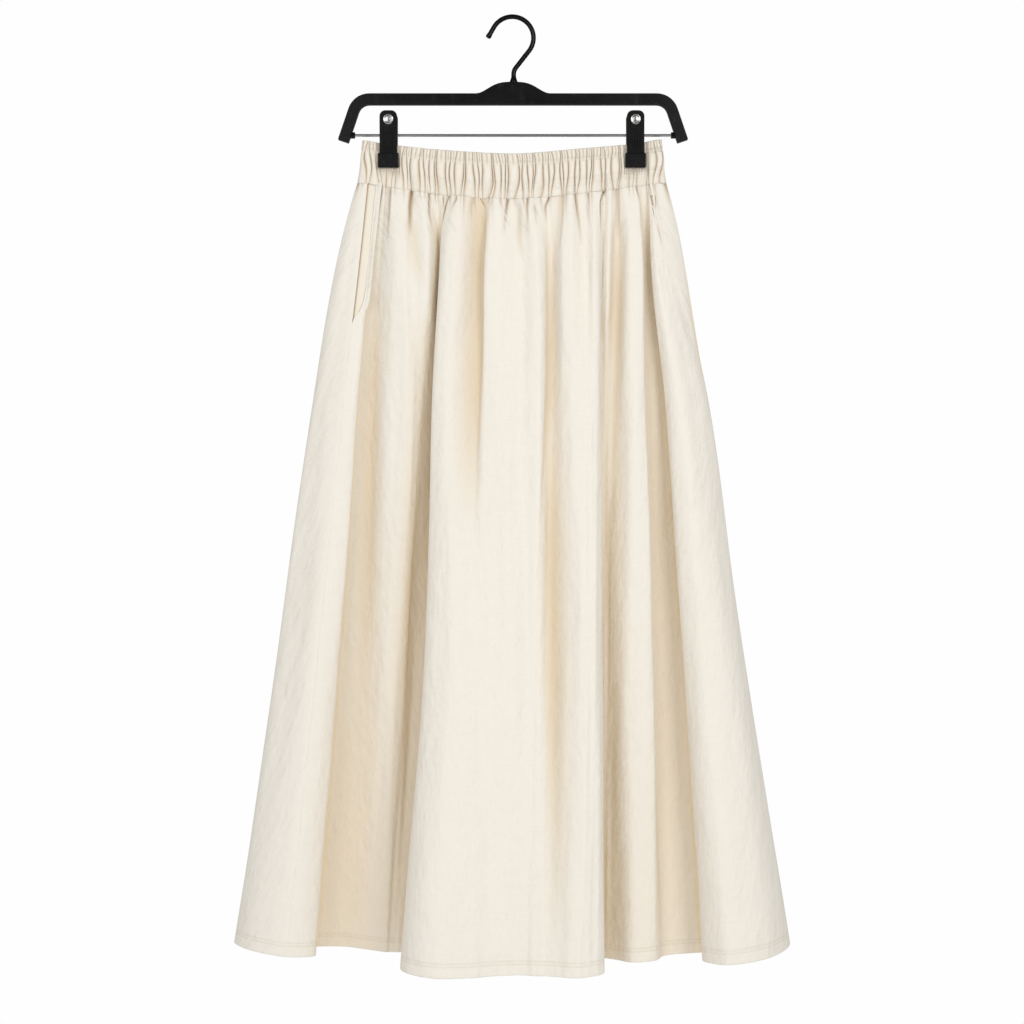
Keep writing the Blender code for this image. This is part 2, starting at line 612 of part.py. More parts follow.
def rivet_mesh(finish):
    """A turned rivet head whose flat back lies at height zero, with its middle towards +Z."""
    points = [(0.0, 0.0, 0.0)]
    for ring in RIVET_RINGS:
        for i in range(RIVET_TURNS):
            angle = 2 * math.pi * i / RIVET_TURNS
            radius = ring.radius * RIVET_RADIUS
            points.append((radius * math.cos(angle), radius * math.sin(angle), ring.rise * RIVET_RISE))
    points.append((0.0, 0.0, RIVET_MIDDLE_RISE * RIVET_RISE))
    last = 1 + (len(RIVET_RINGS) - 1) * RIVET_TURNS
    faces = []
    for i in range(RIVET_TURNS):
        j = (i + 1) % RIVET_TURNS
        faces.append((0, 1 + j, 1 + i))
        for low in range(1, last, RIVET_TURNS):
            faces.append((low + i, low + j, low + RIVET_TURNS + j, low + RIVET_TURNS + i))
        faces.append((last + i, last + j, len(points) - 1))
    mesh = bpy.data.meshes.new("rivet")
    mesh.from_pydata(points, [], faces)
    mesh.materials.append(finish)
    mesh.shade_smooth()
    mesh.set_sharp_from_angle(angle=math.radians(50))
    return mesh


def build_clips(parts, cutters, plastic, steel):
    """The two clips: each has a front and a back jaw on the rod, with a rivet head on each."""
    jaw = jaw_mesh(plastic, cutters)
    rivet = rivet_mesh(steel)
    for side, x in zip(("left", "right"), CLIP_X):
        for facing, turn in (("front", 0.0), ("back", math.pi)):
            made = bpy.data.objects.new(f"clip_{side}_{facing}_jaw", jaw)
            made.location = (x, 0, ROD_Z)
            made.rotation_euler = (0, 0, turn)
            parts.objects.link(made)
            stud = bpy.data.objects.new(f"clip_{side}_{facing}_rivet", rivet)
            face = Matrix.Rotation(JAW_TILT, 4, "X") @ Matrix.Translation(
                (0, JAW_INNER_Y - JAW_THICKNESS - GAP, RIVET_Z)
            )
            place = Matrix.Translation((x, 0, ROD_Z)) @ Matrix.Rotation(turn, 4, "Z")
            stud.matrix_world = place @ face @ Matrix.Rotation(math.pi / 2, 4, "X")
            parts.objects.link(stud)


def seam_height(x):
    """Height of the waist seam at x."""
    return smooth([row.x_seam for row in WAISTBAND], [row.z_seam for row in WAISTBAND], x)


def hem_height(x):
    """Height of the hem at x: it hangs lowest in the middle."""
    return Z_HEM_MIDDLE + HEM_RISE_AT_SIDES * (np.asarray(x) / HEM_HALF_WIDTH) ** 2


def gather_places(count, seed):
    """Shares from 0 to 1 of the crests and troughs in turn, unevenly spaced, count crests in all."""
    turn = np.arange(2 * count + 1)
    wobble = 0.16 * np.sin(turn * 1.7 + seed) + 0.13 * np.sin(turn * 0.61 + 2 * seed)
    place = turn + np.where((turn > 0) & (turn < 2 * count), wobble, 0)
    return place / (2 * count)


def gather_height(index, seed):
    """How far one crest stands out, from the least share of its height to all of it."""
    wave = math.sin(index * 2.3 + seed) * math.cos(index * 0.37 + seed)
    return GATHER_LEAST + (1 - GATHER_LEAST) * (1 + wave) / 2


def clip_flattening(x):
    """1 away from the clips and 0 under them, where the jaws press the gathers flat."""
    away = min(abs(x - clip) for clip in CLIP_X)
    return float(np.clip((away - FOOT_WIDTH / 2 - CLIP_MARGIN) / CLIP_EASE, 0, 1))


def waistband_columns(seed):
    """The waistband table read at every crest and trough of its gathers, evenly along x."""
    index = np.arange(len(WAISTBAND))
    x_tops = np.array([row.x_top for row in WAISTBAND])
    x = x_tops[0] + gather_places(GATHERS_EACH_SIDE, seed) * (x_tops[-1] - x_tops[0])
    at = smooth(x_tops, index, x)
    names = WAISTBAND[0]._fields[1:]
    return {name: smooth(index, [getattr(row, name) for row in WAISTBAND], at) for name in names}


def build_waistband(name, side, seed, parts, finish):
    """Half the waistband, with gathers raised on the outer face over a plain inner face."""
    column = waistband_columns(seed)
    count = len(column["x_top"])
    points = []
    for i in range(count):
        at_end = i in (0, count - 1)
        edge_gap = GAP / 2 if at_end else 0.0
        rise = GATHER_RISE * gather_height(i, seed) if i % 2 else 0.0
        inner = []
        for line in BAND_LINES:
            # The halves stay together behind the jaws and part only below them
            x, depth, z = (
                column[key + "_top"] * (1 - share) + column[key + "_seam"] * share
                for key, share in (("x", line.share), ("depth", line.share**PARTING), ("z", line.share))
            )
            if at_end:
                out_x, out_y = (-1.0 if i == 0 else 1.0), 0.0
            else:
                along = x[i + 1] - x[i - 1]
                across = depth[i + 1] - depth[i - 1]
                length = math.hypot(along, across)
                out_x, out_y = -across / length, along / length
            free = clip_flattening(x[i])
            loose = BAND_WALL + line.pull + rise * line.gather
            wall = loose * free + CLIPPED_WALL * (1 - free)
            height = z[i] + (GAP / 2 if line.share == 1.0 else 0.0)
            points.append((x[i] + out_x * wall, side * (depth[i] + edge_gap + out_y * wall), height))
            if line.share in (0.0, 1.0):
                inner.append((x[i], side * (depth[i] + edge_gap), height))
        points += inner
    lines = len(BAND_LINES)
    stride = lines + 2
    rim = list(range(lines)) + [lines + 1, lines]
    faces = [
        (a + rim[k], a + rim[k + 1 - stride], b + rim[k + 1 - stride], b + rim[k])
        for a, b in ((i * stride, (i + 1) * stride) for i in range(count - 1))
        for k in range(stride)
    ]
    last = (count - 1) * stride
    faces.append(tuple(reversed(rim)))
    faces.append(tuple(last + k for k in rim))
    if side > 0:
        faces = [tuple(reversed(face)) for face in faces]
    mesh_object(name, points, faces, finish, parts)


RING = FRONT_FOLDS + BACK_FOLDS
X_COLUMNS = ("x_seam", "x_hip", "x_thigh", "x_knee", "x_hem")
Y_COLUMNS = ("y_seam", "y_hip", "y_thigh", "y_knee", "y_hem")


def fold_at(row, drop):
    """Where one fold lies at a share of the drop from the waist seam to the hem."""
    top = float(seam_height(row.x_seam)) - GAP / 2
    bottom = float(hem_height(row.x_hem))
    heights = (top, Z_HIP, Z_THIGH, Z_KNEE, bottom)
    z = top + (bottom - top) * drop
    down = [-height for height in heights]
    x = smooth(down, [getattr(row, key) for key in X_COLUMNS], -z)
    y = smooth(down, [getattr(row, key) for key in Y_COLUMNS], -z)
    return float(x), float(y), z


def section(drop, at):
    """Points round the skirt at a share of the drop; `at` counts folds from the left side seam."""
    count = len(RING)
    spare = 3
    at = np.asarray(at, float)
    folds = np.array([fold_at(RING[i % count], drop) for i in range(-spare, count + spare + 1)])
    step = np.linalg.norm(np.diff(folds, axis=0), axis=1) ** 0.5
    before, after = step[:-1, None], step[1:, None]
    into = (folds[1:-1] - folds[:-2]) / before
    out_of = (folds[2:] - folds[1:-1]) / after
    tangent = (into * after + out_of * before) / (before + after)
    i = np.clip(np.floor(at).astype(int), -1, count) + spare
    t = (at + spare - i)[:, None]
    width = step[i][:, None]
    return (
        (1 + 2 * t) * (1 - t) ** 2 * folds[i]
        + t * (1 - t) ** 2 * width * tangent[i - 1]
        + t * t * (3 - 2 * t) * folds[i + 1]
        + t * t * (t - 1) * width * tangent[i]
    )


def columns_between(first, last, count):
    """Fold counts of a panel's columns: closer together where the cloth is long or turns most."""
    fine = np.linspace(first, last, (last - first) * READINGS_EACH_FOLD + 1)
    effort = np.zeros(len(fine) - 1)
    for drop in COLUMN_LEVELS:
        way = np.diff(section(drop, fine)[:, :2], axis=0)
        length = np.linalg.norm(way, axis=1)
        heading = np.unwrap(np.arctan2(way[:, 1], way[:, 0]))
        turn = np.abs(np.gradient(heading))
        effort += length / COLUMN_LENGTH + turn / COLUMN_TURN
    total = np.concatenate([[0], np.cumsum(effort)])
    at = np.interp(np.linspace(0, total[-1], count + 1), total, fine)
    # A short column at each end keeps the two walls that meet at a side seam in line
    return np.concatenate([at[:1], at[:1] + SEAM_COLUMN, at[1:-1], at[-1:] - SEAM_COLUMN, at[-1:]])


def drops_with_hem():
    """Every share of the drop with a row of points, with the step where the hem is turned up."""
    drop_length = -Z_HEM_MIDDLE + WAISTBAND[len(WAISTBAND) // 2].z_seam
    turn = 1 - HEM_TURN_UP / drop_length
    return DROPS + (turn - HEM_STEP, turn, 1.0), turn


def mouth_start(z):
    """Where the front panel starts at a height, in folds from the left side seam."""
    down = [-height for height in POCKET_EDGE_Z]
    return float(smooth(down, POCKET_EDGE_SHARE, -z)) if z > POCKET_EDGE_Z[-1] else 0.0


def build_panel(name, first, last, count, parts, finish, mouth=False):
    """One panel of the skirt: an open sheet through the folds, given its wall, with a double hem."""
    drops, turn = drops_with_hem()
    at = columns_between(first, last, count)
    points = []
    for drop in drops:
        row = section(drop, at)
        if mouth:
            shift = mouth_start(row[0][2]) * np.clip(1 - at / MOUTH_REACH, 0, 1)
            row = section(drop, at + shift)
        for end, inward in ((0, 1), (-1, -2)):
            way = row[inward] - row[end]
            row[end] += way / np.linalg.norm(way) * GAP / 2
        points += list(row)
    width = len(at)
    faces = grid_faces(len(drops), width)
    panel = mesh_object(name, points, faces, finish, parts)
    hem = panel.vertex_groups.new(name="hem")
    hem.add([i for i in range(len(points)) if drops[i // width] >= turn], 1.0, "REPLACE")
    wall = give_wall(panel, HEM_WALL)
    wall.vertex_group = "hem"
    wall.thickness_vertex_group = PANEL_WALL / HEM_WALL


def grid_faces(rows, columns):
    """Faces of a grid whose points run along each row in turn, from the top row down."""
    return [
        (r * columns + c, (r + 1) * columns + c, (r + 1) * columns + c + 1, r * columns + c + 1)
        for r in range(rows - 1)
        for c in range(columns - 1)
    ]


def give_wall(sheet, thickness):
    """Turns an open sheet into a wall that lies inside it."""
    wall = sheet.modifiers.new("cloth", "SOLIDIFY")
    wall.thickness = thickness
    wall.offset = -1
    wall.use_quality_normals = True
    return wall


def build_pocket_facing(parts, finish):
    """The strip of the pocket that shows in the open left mouth, set in behind both panels' edges."""
    rows = []
    for drop in FACING_DROPS:
        z = section(drop, [0.0])[0][2]
        edge = max(mouth_start(z), FACING_LEAST_SHARE)
        at = np.linspace(-FACING_UNDERLAP, edge - FACING_TUCK, FACING_COLUMNS)
        outer = section(drop, at)
        way = np.gradient(outer, axis=0)
        out = np.stack([way[:, 1], -way[:, 0], 0 * way[:, 0]], axis=1)
        out /= np.linalg.norm(out, axis=1)[:, None]
        rows += list(outer - out * FACING_SETBACK)
    faces = grid_faces(len(FACING_DROPS), FACING_COLUMNS)
    facing = mesh_object("pocket_facing_left", rows, faces, finish, parts)
    give_wall(facing, FACING_WALL)


def clear_scene():
    for old in list(bpy.data.objects):
        bpy.data.objects.remove(old)
    for old in list(bpy.data.collections):
        bpy.data.collections.remove(old)


clear_scene()
parts = bpy.data.collections.new("skirt_on_clip_hanger")
cutters = bpy.data.collections.new("cutters")
bpy.context.scene.collection.children.link(parts)
bpy.context.scene.collection.children.link(cutters)
plastic = material("black plastic", BLACK_PLASTIC)
steel = material("steel", STEEL)
cotton = material("cream cotton", CREAM_COTTON)
build_bar(parts, cutters, plastic)
build_hook(parts, plastic)
build_rod(parts, steel)
build_clips(parts, cutters, plastic, steel)
build_waistband("waistband_front", -1, 0.4, parts, cotton)
build_waistband("waistband_back", 1, 2.1, parts, cotton)
build_panel("front_panel", 0, len(FRONT_FOLDS), FRONT_COLUMNS, parts, cotton, mouth=True)
build_panel("back_panel", len(FRONT_FOLDS), len(RING), BACK_COLUMNS, parts, cotton)
build_pocket_facing(parts, cotton)
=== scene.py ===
"""A long gathered skirt on a black clip hanger, dressed to look like its photograph.

Metres, +Z up, front towards -Y. The origin is the seat of the hook, so everything hangs below zero.
Each section is one piece, in the order in which the skirt is sewn and then hung.
"""

import math
from typing import NamedTuple

import bpy
import numpy as np
from mathutils import Matrix


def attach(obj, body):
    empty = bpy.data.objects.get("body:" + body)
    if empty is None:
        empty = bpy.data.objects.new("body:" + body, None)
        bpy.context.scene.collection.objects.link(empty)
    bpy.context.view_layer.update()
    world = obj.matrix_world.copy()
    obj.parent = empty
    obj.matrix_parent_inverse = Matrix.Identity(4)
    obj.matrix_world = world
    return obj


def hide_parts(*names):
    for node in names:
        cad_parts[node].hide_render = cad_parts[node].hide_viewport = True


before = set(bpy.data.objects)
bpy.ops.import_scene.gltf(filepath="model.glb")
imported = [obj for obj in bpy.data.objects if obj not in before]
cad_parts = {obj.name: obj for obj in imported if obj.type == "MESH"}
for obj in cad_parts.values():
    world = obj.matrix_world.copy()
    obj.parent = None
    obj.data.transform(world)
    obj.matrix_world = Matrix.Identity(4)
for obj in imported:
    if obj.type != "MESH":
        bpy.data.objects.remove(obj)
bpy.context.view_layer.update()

# Camera: a long lens straight in front of the skirt, at half its height, as the photograph was
# taken. One pixel is this many metres in the plane of the hanger.
PHOTO_WIDTH = 1024
METRES_A_PIXEL = 0.0010888
CAMERA_DISTANCE = 2.2

lens = bpy.data.cameras.new("camera")
lens.sensor_width = 36
lens.lens = 36 * CAMERA_DISTANCE / (PHOTO_WIDTH * METRES_A_PIXEL)
camera = bpy.data.objects.new("camera", lens)
camera.location = (-0.0011, -CAMERA_DISTANCE, -0.5367)
camera.rotation_euler = (math.pi / 2, 0, 0)
bpy.context.scene.collection.objects.link(camera)
bpy.context.scene.camera = camera

# Studio: a plain pale floor well below the hem and soft white light from all round, with a strong
# soft lamp from the front right and a wider, weaker one from the front left. Shiny faces mirror a
# dimmer room, so that the black plastic stays black.
FLOOR_Z = -1.56
FLOOR_RADIUS = 1.5
FLOOR_SIDES = 96

ring = [2 * math.pi * i / FLOOR_SIDES for i in range(FLOOR_SIDES)]
floor_mesh = bpy.data.meshes.new("studio_floor")
floor_mesh.from_pydata(
    [(FLOOR_RADIUS * math.cos(a), FLOOR_RADIUS * math.sin(a), FLOOR_Z) for a in ring],
    [],
    [tuple(range(FLOOR_SIDES))],
)
pale = bpy.data.materials.new("pale floor")
pale.use_nodes = True
pale.node_tree.nodes["Principled BSDF"].inputs["Base Color"].default_value = (0.86, 0.86, 0.86, 1)
pale.node_tree.nodes["Principled BSDF"].inputs["Roughness"].default_value = 0.9
floor_mesh.materials.append(pale)
floor = bpy.data.objects.new("studio_floor", floor_mesh)
bpy.context.scene.collection.objects.link(floor)

world = bpy.data.worlds.new("studio")
world.use_nodes = True
sky = world.node_tree.nodes["Background"]
sky.inputs["Color"].default_value = (1.0, 0.985, 0.955, 1)
sky.inputs["Strength"].default_value = 0.60
dim = world.node_tree.nodes.new("ShaderNodeBackground")
dim.inputs["Strength"].default_value = 0.14
backdrop = world.node_tree.nodes.new("ShaderNodeBackground")
backdrop.inputs["Color"].default_value = (0.99, 0.99, 0.99, 1)
seen = world.node_tree.nodes.new("ShaderNodeLightPath")
mirrored = world.node_tree.nodes.new("ShaderNodeMixShader")
either = world.node_tree.nodes.new("ShaderNodeMixShader")
world.node_tree.links.new(seen.outputs["Is Glossy Ray"], mirrored.inputs["Fac"])
world.node_tree.links.new(sky.outputs[0], mirrored.inputs[1])
world.node_tree.links.new(dim.outputs[0], mirrored.inputs[2])
world.node_tree.links.new(seen.outputs["Is Camera Ray"], either.inputs["Fac"])
world.node_tree.links.new(mirrored.outputs[0], either.inputs[1])
world.node_tree.links.new(backdrop.outputs[0], either.inputs[2])
world.node_tree.links.new(either.outputs[0], world.node_tree.nodes["World Output"].inputs["Surface"])
bpy.context.scene.world = world
bpy.context.scene.view_settings.view_transform = "Standard"


class Lamp(NamedTuple):
    """One soft lamp: where it stands, where it points, how wide it is and its power in watts."""

    name: str
    place: tuple
    target: tuple
    width: float
    power: float


LAMPS = (
    Lamp("front left softbox", (-1.30, -2.6, 0.15), (0.0, 0.0, -0.60), 1.5, 21.0),
    Lamp("front right softbox", (1.30, -2.6, 0.35), (0.0, 0.0, -0.55), 1.1, 29.0),
)
for lamp in LAMPS:
    light = bpy.data.lights.new(lamp.name, "AREA")
    light.size = lamp.width
    light.energy = lamp.power
    stand = bpy.data.objects.new(lamp.name, light)
    stand.location = lamp.place
    aim = [b - a for a, b in zip(lamp.place, lamp.target)]
    stand.rotation_euler = (
        math.pi / 2 - math.atan2(-aim[2], math.hypot(aim[0], aim[1])),
        0,
        math.atan2(aim[1], aim[0]) - math.pi / 2,
    )
    bpy.context.scene.collection.objects.link(stand)

# Front panel: plain-woven cream cotton, cut as a flare and gathered into the waistband. It hangs
# in deep unpressed folds. Its side seams are turned in, and its hem is turned up twice and sewn.
SEAM_GAP = 0.0003
HEM_FOLD = 0.0016
HEM_TURN_UP = 0.0145
SEAM_TURN_IN = 0.0060
LET_IN = ((0.0006, 0.003), (0.0001, 0.001))
CREAM = (0.850, 0.812, 0.742, 1)
CREAM_SLUB = (0.790, 0.735, 0.635, 1)
# Painted shade: a warm cream painted where folds shut the cloth in and in the hollows of wide creases, and a
# dark brown painted in narrow crease bottoms, gather valleys and along stitch lines.
PAINTED_WARM_SHADE_COLOUR = (0.84, 0.715, 0.525, 1)
PAINTED_DARK_SHADE_COLOUR = (0.40, 0.262, 0.130, 1)
COTTON_COLOURS_AND_PAINTED_SHADES = {
    "Colour": CREAM,
    "Slub Colour": CREAM_SLUB,
    "Painted Warm Shade": PAINTED_WARM_SHADE_COLOUR,
    "Painted Dark Shade": PAINTED_DARK_SHADE_COLOUR,
}
THREADS_A_METRE = 1700.0
FRONT_SEED = 0.4


class BandRow(NamedTuple):
    """One place along the inner face of half the waistband: x, half depth and height, at each edge."""

    place: str
    x_top: float
    x_seam: float
    depth_top: float
    depth_seam: float
    z_top: float
    z_seam: float


WAISTBAND = (
    BandRow("left end", -0.1642, -0.1674, 0.0000, 0.0000, -0.1335, -0.1777),
    BandRow("left loop", -0.1590, -0.1600, 0.0036, 0.0050, -0.1342, -0.1787),
    BandRow("left clip, outer", -0.1478, -0.1480, 0.0004, 0.0028, -0.1357, -0.1810),
    BandRow("left clip, inner", -0.1246, -0.1246, 0.0004, 0.0036, -0.1389, -0.1846),
    BandRow("left of middle", -0.0700, -0.0700, 0.0098, 0.0126, -0.1460, -0.1929),
    BandRow("middle", 0.0000, 0.0000, 0.0136, 0.0158, -0.1501, -0.1975),
    BandRow("right of middle", 0.0700, 0.0700, 0.0098, 0.0126, -0.1443, -0.1916),
    BandRow("right clip, inner", 0.1218, 0.1218, 0.0004, 0.0036, -0.1380, -0.1840),
    BandRow("right clip, outer", 0.1450, 0.1450, 0.0004, 0.0028, -0.1349, -0.1806),
    BandRow("right loop", 0.1568, 0.1580, 0.0036, 0.0050, -0.1334, -0.1788),
    BandRow("right end", 0.1619, 0.1651, 0.0000, 0.0000, -0.1328, -0.1778),
)


class Fold(NamedTuple):
    """One crest, trough or folded edge: x and y of the cloth's face at five heights."""

    place: str
    x_seam: float
    x_hip: float
    x_thigh: float
    x_knee: float
    x_hem: float
    y_seam: float
    y_hip: float
    y_thigh: float
    y_knee: float
    y_hem: float


# Heights of the three middle columns of the fold tables. The seam and the hem are not level.
Z_HIP = -0.2514
Z_THIGH = -0.4147
Z_KNEE = -0.6325
Z_HEM_MIDDLE = -1.0220
HEM_RISE_AT_SIDES = 0.0165
HEM_HALF_WIDTH = 0.3000

FRONT_FOLDS = (
    Fold("left side seam", -0.158, -0.165, -0.183, -0.204, -0.242, -0.006, -0.012, -0.020, -0.030, -0.043),
    Fold("left panel lip", -0.147, -0.154, -0.168, -0.183, -0.213, -0.008, -0.011, -0.016, -0.022, -0.026),
    Fold("left recess foot", -0.144, -0.155, -0.171, -0.189, -0.223, -0.006, -0.005, -0.002, 0.004, 0.012),
    Fold("left recess floor", -0.139, -0.145, -0.158, -0.167, -0.185, -0.004, -0.002, 0.001, 0.009, 0.028),
    Fold("left soft crest", -0.132, -0.131, -0.131, -0.139, -0.155, -0.007, -0.016, -0.017, -0.005, 0.020),
    Fold("left soft middle", -0.120, -0.118, -0.113, -0.123, -0.140, -0.009, -0.019, -0.022, -0.008, 0.014),
    Fold("left short dip", -0.110, -0.106, -0.104, -0.112, -0.133, -0.007, -0.015, -0.018, -0.003, 0.016),
    Fold("left soft edge", -0.101, -0.091, -0.094, -0.104, -0.125, -0.013, -0.018, -0.008, 0.008, 0.018),
    Fold("deep fold bottom", -0.084, -0.080, -0.080, -0.085, -0.109, -0.008, 0.003, 0.008, 0.016, 0.020),
    Fold("middle left lip", -0.072, -0.077, -0.086, -0.091, -0.119, -0.009, -0.015, -0.026, -0.042, -0.070),
    Fold("middle crest 1", -0.060, -0.062, -0.071, -0.069, -0.084, -0.018, -0.024, -0.036, -0.058, -0.101),
    Fold("middle dip 1", -0.036, -0.035, -0.041, -0.041, -0.045, -0.014, -0.014, -0.029, -0.056, -0.096),
    Fold("middle edge 1", -0.030, -0.029, -0.029, -0.024, -0.022, -0.015, -0.023, -0.036, -0.057, -0.086),
    Fold("middle crest 2", -0.018, -0.014, -0.011, -0.007, -0.005, -0.021, -0.026, -0.039, -0.058, -0.082),
    Fold("middle dip 2", -0.005, 0.007, 0.012, 0.012, 0.013, -0.015, -0.018, -0.035, -0.052, -0.082),
    Fold("middle crest 3", 0.012, 0.026, 0.029, 0.026, 0.024, -0.021, -0.025, -0.040, -0.052, -0.085),
    Fold("middle dip 3", 0.037, 0.041, 0.040, 0.038, 0.035, -0.014, -0.012, -0.027, -0.045, -0.086),
    Fold("middle edge 3", 0.054, 0.053, 0.055, 0.057, 0.053, -0.015, -0.024, -0.037, -0.055, -0.094),
    Fold("middle crest 4", 0.062, 0.062, 0.068, 0.072, 0.069, -0.019, -0.027, -0.042, -0.062, -0.098),
    Fold("middle dip 4", 0.070, 0.077, 0.079, 0.081, 0.080, -0.012, -0.020, -0.041, -0.062, -0.094),
    Fold("middle crest 5", 0.088, 0.088, 0.0885, 0.089, 0.090, -0.015, -0.025, -0.040, -0.060, -0.088),
    Fold("middle right lip", 0.096, 0.095, 0.095, 0.095, 0.096, -0.010, -0.018, -0.028, -0.043, -0.070),
    Fold("right fold foot", 0.099, 0.097, 0.092, 0.090, 0.089, -0.008, -0.012, -0.012, -0.011, -0.007),
    Fold("right short crest", 0.105, 0.103, 0.100, 0.099, 0.100, -0.012, -0.017, -0.012, -0.013, -0.008),
    Fold("right fold bottom", 0.112, 0.113, 0.107, 0.106, 0.107, -0.008, -0.008, -0.011, -0.016, -0.014),
    Fold("right ridge", 0.122, 0.126, 0.1265, 0.1255, 0.127, -0.011, -0.021, -0.029, -0.036, -0.034),
    Fold("right ridge lip", 0.135, 0.139, 0.142, 0.149, 0.152, -0.008, -0.018, -0.026, -0.033, -0.031),
    Fold("right recess foot", 0.138, 0.138, 0.141, 0.149, 0.162, -0.006, -0.006, -0.007, -0.011, -0.013),
    Fold("right recess floor", 0.142, 0.145, 0.155, 0.166, 0.182, -0.004, -0.003, -0.001, -0.004, -0.006),
    Fold("right recess, hidden", 0.145, 0.153, 0.171, 0.188, 0.214, -0.005, -0.003, -0.001, -0.004, -0.012),
    Fold("right panel lip", 0.1470, 0.148, 0.164, 0.179, 0.202, -0.007, -0.013, -0.020, -0.030, -0.048),
    Fold("right panel crest", 0.1488, 0.1535, 0.177, 0.197, 0.226, -0.0085, -0.0165, -0.030, -0.047, -0.075),
    Fold("right panel side", 0.1505, 0.159, 0.197, 0.224, 0.272, -0.008, -0.016, -0.020, -0.036, -0.060),
)

BACK_FOLDS = (
    Fold("right side seam", 0.1525, 0.1645, 0.2125, 0.2425, 0.3005, -0.0068, -0.0135, 0.002, 0.000, -0.008),
    Fold("right side", 0.1677, 0.1847, 0.2110, 0.2395, 0.2965, 0.000, 0.002, 0.012, 0.016, 0.020),
    Fold("right back crest", 0.150, 0.164, 0.186, 0.214, 0.262, 0.008, 0.017, 0.030, 0.044, 0.068),
    Fold("right back soft", 0.134, 0.147, 0.166, 0.190, 0.232, 0.007, 0.013, 0.026, 0.038, 0.062),
    Fold("right back lip", 0.120, 0.131, 0.148, 0.168, 0.205, 0.011, 0.018, 0.030, 0.046, 0.072),
    Fold("right back foot", 0.121, 0.132, 0.151, 0.174, 0.214, 0.009, 0.009, 0.012, 0.018, 0.030),
    Fold("right back floor", 0.109, 0.119, 0.134, 0.154, 0.186, 0.008, 0.008, 0.010, 0.016, 0.028),
    Fold("right back ridge", 0.090, 0.098, 0.110, 0.125, 0.152, 0.013, 0.021, 0.030, 0.044, 0.068),
    Fold("right back ridge side", 0.078, 0.084, 0.094, 0.106, 0.129, 0.011, 0.016, 0.024, 0.036, 0.056),
    Fold("back fold bottom, right", 0.062, 0.066, 0.072, 0.082, 0.100, 0.010, 0.010, 0.012, 0.018, 0.030),
    Fold("back middle foot", 0.052, 0.055, 0.062, 0.068, 0.082, 0.012, 0.012, 0.014, 0.022, 0.032),
    Fold("back middle, right lip", 0.050, 0.053, 0.063, 0.072, 0.092, 0.016, 0.021, 0.032, 0.050, 0.078),
    Fold("back middle crest 1", 0.036, 0.038, 0.042, 0.050, 0.062, 0.020, 0.026, 0.039, 0.062, 0.100),
    Fold("back middle dip 1", 0.014, 0.014, 0.016, 0.020, 0.024, 0.014, 0.017, 0.031, 0.052, 0.086),
    Fold("back middle crest 2", -0.006, -0.008, -0.010, -0.012, -0.012, 0.021, 0.027, 0.040, 0.061, 0.096),
    Fold("back middle dip 2", -0.026, -0.029, -0.034, -0.040, -0.046, 0.014, 0.016, 0.032, 0.054, 0.088),
    Fold("back middle, left lip", -0.042, -0.047, -0.056, -0.065, -0.080, 0.017, 0.022, 0.036, 0.058, 0.091),
    Fold("back left foot", -0.044, -0.047, -0.052, -0.059, -0.071, 0.012, 0.013, 0.020, 0.028, 0.044),
    Fold("back left floor", -0.056, -0.060, -0.070, -0.080, -0.098, 0.011, 0.012, 0.019, 0.027, 0.043),
    Fold("back left ridge", -0.076, -0.085, -0.097, -0.112, -0.136, 0.015, 0.023, 0.036, 0.052, 0.080),
    Fold("back left ridge lip", -0.089, -0.098, -0.112, -0.128, -0.158, 0.011, 0.018, 0.028, 0.044, 0.072),
    Fold("back left fold foot", -0.092, -0.100, -0.113, -0.130, -0.160, 0.009, 0.011, 0.016, 0.028, 0.053),
    Fold("back left fold floor", -0.104, -0.114, -0.131, -0.150, -0.182, 0.008, 0.009, 0.014, 0.026, 0.050),
    Fold("back left, hidden", -0.117, -0.128, -0.147, -0.170, -0.207, 0.009, 0.010, 0.015, 0.029, 0.053),
    Fold("back left lip", -0.116, -0.126, -0.143, -0.163, -0.198, 0.010, 0.017, 0.028, 0.046, 0.078),
    Fold("back left crest", -0.132, -0.147, -0.168, -0.194, -0.238, 0.008, 0.020, 0.034, 0.054, 0.084),
    Fold("back left side", -0.154, -0.170, -0.195, -0.224, -0.275, 0.007, 0.013, 0.022, 0.034, 0.052),
    Fold("left side", -0.1701, -0.1891, -0.218, -0.2485, -0.304, 0.000, 0.002, 0.002, 0.002, 0.003),
    Fold("left side, front", -0.166, -0.178, -0.202, -0.228, -0.282, -0.004, -0.009, -0.013, -0.018, -0.027),
)


class Crease(NamedTuple):
    """One soft crease pressed into the cloth: where it runs, and its widths and depths, in mm."""

    place: str
    x_top: float
    x_mid: float
    x_foot: float
    z_top: float
    z_mid: float
    z_foot: float
    left: float
    right: float
    depth_top: float
    depth_mid: float
